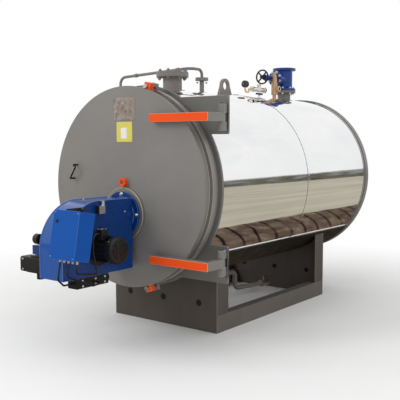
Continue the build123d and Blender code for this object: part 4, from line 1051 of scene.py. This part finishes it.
# Dial of the pressure gauge, its marks and its hand
gauge_z, gauge_face, dial_sink = 2.198, 0.322, 0.0005
dial = facing((0, gauge_face + dial_sink, gauge_z), forward)
dial_outline = ((0, 0.0016), (0.0035, 0.0016), (0.0035, 0.0008), (0.030, 0.0008), (0.030, 0.002),
                (0.034, 0.003), (0.036, 0.001), (0.036, -0.001), (0, -0.001))
dial_finishes, dial_bands = [grey_casting_and_highlight, black_plastic], (1, 1, 1, 0, 1, 1, 1, 1)
turnings("gauge_dial", [dial], dial_outline, dial_finishes, "boiler", "black_casting", dial_bands)
mark_count, mark_sweep, mark_rise, mark_depth = 11, 270, 0.0010, 0.0008
mark, hand = (0.025, 0.0016, 0.005), (0.011, 0.0018, 0.024)
hand_angle = radians(-70)
lines = [(radians(mark_sweep * (share - 0.5)), mark) for share in shares(mark_count)]
marks = bmesh.new()
for angle, (radius, width, length) in lines + [(hand_angle, hand)]:
    corners = added_block(marks, (0, radius, mark_rise), (width, length, mark_depth))
    bmesh.ops.rotate(marks, cent=(0, 0, 0), matrix=Matrix.Rotation(-angle, 3, "Z"), verts=corners)
data = bpy.data.meshes.new("gauge_marks")
marks.to_mesh(data)
marks.free()
data.transform(dial)
data.materials.append(pale_film)
placed("gauge_marks", data, "boiler", "black_casting")

# Couplings of the vent line, on its run over the body
run_start, run_reach = Vector((0, -0.571, 2.282)), Vector((-0.872, 0, -0.039))
coupling_places = (0.14, 0.66)
sleeve = ((0.0135, -0.016), (0.0175, -0.016), (0.0185, -0.014), (0.0185, 0.014), (0.0175, 0.016),
          (0.0135, 0.016))
run_axis = run_reach.normalized()
places = [facing(run_start + reach * run_axis, run_axis) for reach in coupling_places]
turnings("line_couplings", places, sleeve, [fitting_enamel], "boiler", "grey_paint")

# Weld rings of the flue and the clean-out door, and those of the furnace and the smoke tubes behind the door
flue_rise, flue_weld, cleanout_weld = 0.25, 0.202, 0.171
flue_z = axis_z + flue_rise
paths = [circle_path((0, cover_face, flue_z), flue_weld),
         circle_path((0, cover_face, cleanout_z), cleanout_weld)]
beads("rear_welds", paths, weld_radius, weld_metal, "boiler", "grey_paint")

sheet_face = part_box("front_tube_sheet")[0].y
furnace_weld, tube_weld, tube_bead = 0.333, 0.0395, 0.0026
tube_rows = ((13, 0.43, 210), (11, 0.54, 140))
paths = [circle_path((0, sheet_face, burner_z), furnace_weld)]
for count, radius, span in tube_rows:
    for share in shares(count):
        angle = radians(90 + span * (share - 0.5))
        place = (radius * cos(angle), sheet_face, burner_z + radius * sin(angle))
        paths.append(circle_path(place, tube_weld, count=24))
beads("tube_welds", paths, tube_bead, weld_metal, "boiler", "bare_steel")

# Black plugs in the pipe holes of the base: dark pieces put where the holes show shade, as painted shade
hole_spacing, hole_z = 0.4, 0.24
plug_outline = ((0, -0.004), (0.018, -0.004), (0.022, -0.0015), (0.028, -0.0015), (0.0285, -0.0005),
                (0.0285, 0.0015), (0.0245, 0.0015), (0.0245, 0.016), (0.020, 0.016), (0.019, 0.006),
                (0, 0.006))
front_low, front_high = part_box("base_front_plate")
rear_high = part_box("base_rear_plate")[1]
places = [facing((step * hole_spacing, face_y, hole_z), inward)
          for face_y, inward in ((front_low.y, rearward), (rear_high.y, forward)) for step in (-1, 0, 1)]
turnings("hole_shade_plugs", places, plug_outline, [plug_shade_black], "boiler", "black_plastic")

# Welds of the lifting lug and the base
lug_side, lug_half, pad_sheet = 0.0125, 0.105, 0.004
lug_y = middle("lifting_lug").y
pad_top = axis_z + cladding_radius + pad_sheet
rail_low, rail_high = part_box("base_rails")
rail_margin = 0.02
paths = []
for x in (-lug_side, lug_side):
    paths.append(straight_path((x, lug_y - lug_half, pad_top), (x, lug_y + lug_half, pad_top), steps=14))
for x in (rail_low.x, rail_high.x):
    start, end = (x, front_high.y, rail_margin), (x, front_high.y, rail_high.z - rail_margin)
    paths.append(straight_path(start, end, steps=8))
beads("frame_welds", paths, weld_radius, weld_metal, "boiler", "grey_paint")


# Camera

camera = bpy.data.objects.new("camera", bpy.data.cameras.new("camera"))
camera_pitch, camera_turn = 0.086, 0.6553
camera.location = (3.9106, -5.504, 1.6191)
camera.rotation_euler = (pi / 2 - camera_pitch, 0, camera_turn)
camera.data.lens = 61.416
camera.data.sensor_width = 36
bpy.context.scene.collection.objects.link(camera)
bpy.context.scene.camera = camera


# Floor, and the painted reflections of surroundings that only polished metal shows

def blended(tree, factor, first, second):
    """One surface turned into another by a factor."""
    mix = tree.nodes.new("ShaderNodeMixShader")
    for socket, value in zip(mix.inputs, (factor, first, second)):
        linked(tree, socket, value)
    return mix.outputs["Shader"]


def glow(tree, color):
    """Surface that shows a colour as it is."""
    light = tree.nodes.new("ShaderNodeEmission")
    filled(tree, light, Color=color, Strength=1.0)
    return light.outputs["Emission"]


def distance_factor(tree, near, far):
    """0 to 1 with the distance from the middle of the floor."""
    place = tree.nodes.new("ShaderNodeTexCoord")
    length = tree.nodes.new("ShaderNodeVectorMath")
    length.operation = "LENGTH"
    linked(tree, length.inputs[0], place.outputs["Object"])
    return spread(tree, length.outputs["Value"], 0.0, 1.0, near, far)


white, floor_low, floor_high = (1, 1, 1, 1), (0.94, 0.94, 0.935, 1), (0.97, 0.97, 0.965, 1)
fade_start, fade_end = 1.9, 4.4
earth_edge, edge_softness, edge_waver = 1.4, 0.03, 0.02
rut_turn, reflected_rut_color = -0.1, shade(26, 20, 18)


def reflected_rut_pattern(tree):
    """Dark bands along the boiler in the painted ground reflection, worn away in patches."""
    place = tree.nodes.new("ShaderNodeTexCoord")
    turned = tree.nodes.new("ShaderNodeMapping")
    ruts = tree.nodes.new("ShaderNodeTexWave")
    ruts.bands_direction = "Y"
    filled(tree, turned, Vector=place.outputs["Object"], Rotation=(0, 0, rut_turn))
    filled(tree, ruts, Vector=turned.outputs["Vector"], Scale=0.95, Distortion=1.8, Detail=3.0,
           Detail_Scale=1.2)
    worn = spread(tree, grain(tree, 1.1, detail=3.0), 0.35, 1.0, 0.35, 0.45)
    return times(tree, spread(tree, ruts.outputs["Fac"], 0.95, 0.0, 0.03, 0.12), worn)


def painted_ground_reflection(tree):
    """Painted reflection of trodden earth with ruts beside the boiler, then of a pale yard in long streaks.
    """
    edge = calculated(tree, "ADD", distance_from(tree, "X", 0.0),
                      spread(tree, grain(tree, 3.0, detail=5.0), -edge_waver, edge_waver))
    earth = stops(tree, grain(tree, 4.2, detail=9.0, stretch=(1.0, 0.7, 1), distortion=0.5, rough=0.65), (
        (0.3, shade(74, 58, 52)), (0.48, shade(100, 84, 74)), (0.6, shade(124, 108, 90)),
        (0.72, shade(164, 146, 112))))
    earth = over(tree, reflected_rut_pattern(tree), earth, reflected_rut_color)
    yard = stops(tree, grain(tree, 1.2, detail=6.0, stretch=(1.6, 0.12, 1), distortion=0.2), (
        (0.3, shade(172, 165, 146)), (0.7, shade(204, 198, 183))))
    return over(tree, spread(tree, edge, 0.0, 1.0, earth_edge, earth_edge + edge_softness), earth, yard)


def floor_material():
    """Pale floor with the object's shadow, which fades to white. Polished metal sees a painted reflection of
    the ground instead.
    """
    material, tree, shader = fresh_material("pale_floor")
    pale = stops(tree, grain(tree, 1.5, detail=5.0), ((noise_low, floor_low), (noise_high, floor_high)))
    filled(tree, shader, Base_Color=pale, Roughness=0.8, Specular_IOR_Level=0.2)
    rays = tree.nodes.new("ShaderNodeLightPath").outputs
    plain = shader.outputs["BSDF"]
    seen = blended(tree, distance_factor(tree, fade_start, fade_end), plain, glow(tree, white))
    surface = blended(tree, rays["Is Camera Ray"], plain, seen)
    surface = blended(tree, rays["Is Glossy Ray"], surface, glow(tree, painted_ground_reflection(tree)))
    filled(tree, tree.nodes["Material Output"], Surface=surface)
    return material


def painted_skyline_reflection():
    """Painted reflection of a dark skyline, which only shows in polished metal."""
    material, tree, shader = fresh_material("skyline")
    tree.nodes.remove(shader)
    rays = tree.nodes.new("ShaderNodeLightPath").outputs
    clear = tree.nodes.new("ShaderNodeBsdfTransparent").outputs["BSDF"]
    tone = stops(tree, grain(tree, 0.8, detail=3.0, stretch=(1, 1, 0.7)), (
        (0.32, shade(58, 56, 50)), (0.42, shade(120, 118, 104)), (0.5, shade(84, 78, 70)),
        (0.56, shade(156, 156, 152)), (0.64, shade(120, 128, 136)), (0.72, shade(170, 176, 184))))
    leaves = stops(tree, grain(tree, 2.4, detail=7.0), (
        (0.4, shade(34, 36, 30)), (0.6, shade(122, 118, 100))))
    height = along(tree, "Z")
    tone = over(tree, spread(tree, height, 0.75, 0.0, -0.3, -0.1), tone, leaves)
    tone = over(tree, spread(tree, height, 0.0, 0.9, 0.95, 1.05), tone, shade(196, 196, 190))
    tone = over(tree, spread(tree, height, 0.0, 1.0, 1.16, 1.2), tone, shade(72, 70, 66))
    surface = blended(tree, rays["Is Glossy Ray"], clear, glow(tree, tone))
    filled(tree, tree.nodes["Material Output"], Surface=surface)
    return material


def stage_piece(name, maker, finish, **sizes):
    """Piece of the stage, round the object but no part of it."""
    shape = bmesh.new()
    maker(shape, segments=96, **sizes)
    mesh = bpy.data.meshes.new(name)
    shape.to_mesh(mesh)
    shape.free()
    mesh.materials.append(finish)
    piece = bpy.data.objects.new(name, mesh)
    bpy.context.scene.collection.objects.link(piece)
    return piece


floor_radius, skyline_radius, skyline_height = 40, 30, 2.6
stage_piece("floor", bmesh.ops.create_circle, floor_material(), cap_ends=True, radius=floor_radius)
skyline = stage_piece("skyline", bmesh.ops.create_cone, painted_skyline_reflection(), cap_ends=False,
                      radius1=skyline_radius, radius2=skyline_radius, depth=skyline_height)
skyline.location.z = skyline_height / 2


# Light

soft_strength, white_strength = 0.74, 1.0

world = bpy.data.worlds.new("studio")
bpy.context.scene.world = world
world.use_nodes = True
tree = world.node_tree
rays = tree.nodes.new("ShaderNodeLightPath").outputs
seen = calculated(tree, "MAXIMUM", rays["Is Camera Ray"], rays["Is Glossy Ray"])
seen = calculated(tree, "MAXIMUM", seen, rays["Is Transmission Ray"])
soft, backdrop = tree.nodes["Background"], tree.nodes.new("ShaderNodeBackground")
filled(tree, soft, Color=white, Strength=soft_strength)
filled(tree, backdrop, Color=white, Strength=white_strength)
surface = blended(tree, seen, soft.outputs["Background"], backdrop.outputs["Background"])
filled(tree, tree.nodes["World Output"], Surface=surface)


def soft_lamp(name, place, size, power):
    """Round area lamp aimed at the middle of the boiler, unseen in polished metal."""
    lamp = bpy.data.objects.new(name, bpy.data.lights.new(name, "AREA"))
    lamp.data.shape = "DISK"
    lamp.data.size = size
    lamp.data.energy = power
    lamp.location = place
    lamp.rotation_euler = (lamp_aim - Vector(place)).to_track_quat("-Z", "Y").to_euler()
    lamp.visible_glossy = False
    bpy.context.scene.collection.objects.link(lamp)


lamp_aim = Vector((0, 0, 1.2))
soft_lamp("key_lamp", (-4.0, -8.0, 6.5), 4.0, 270)
soft_lamp("fill_lamp", (8.0, -2.0, 5.0), 5.0, 70)

bpy.context.scene.view_settings.view_transform = "Standard"
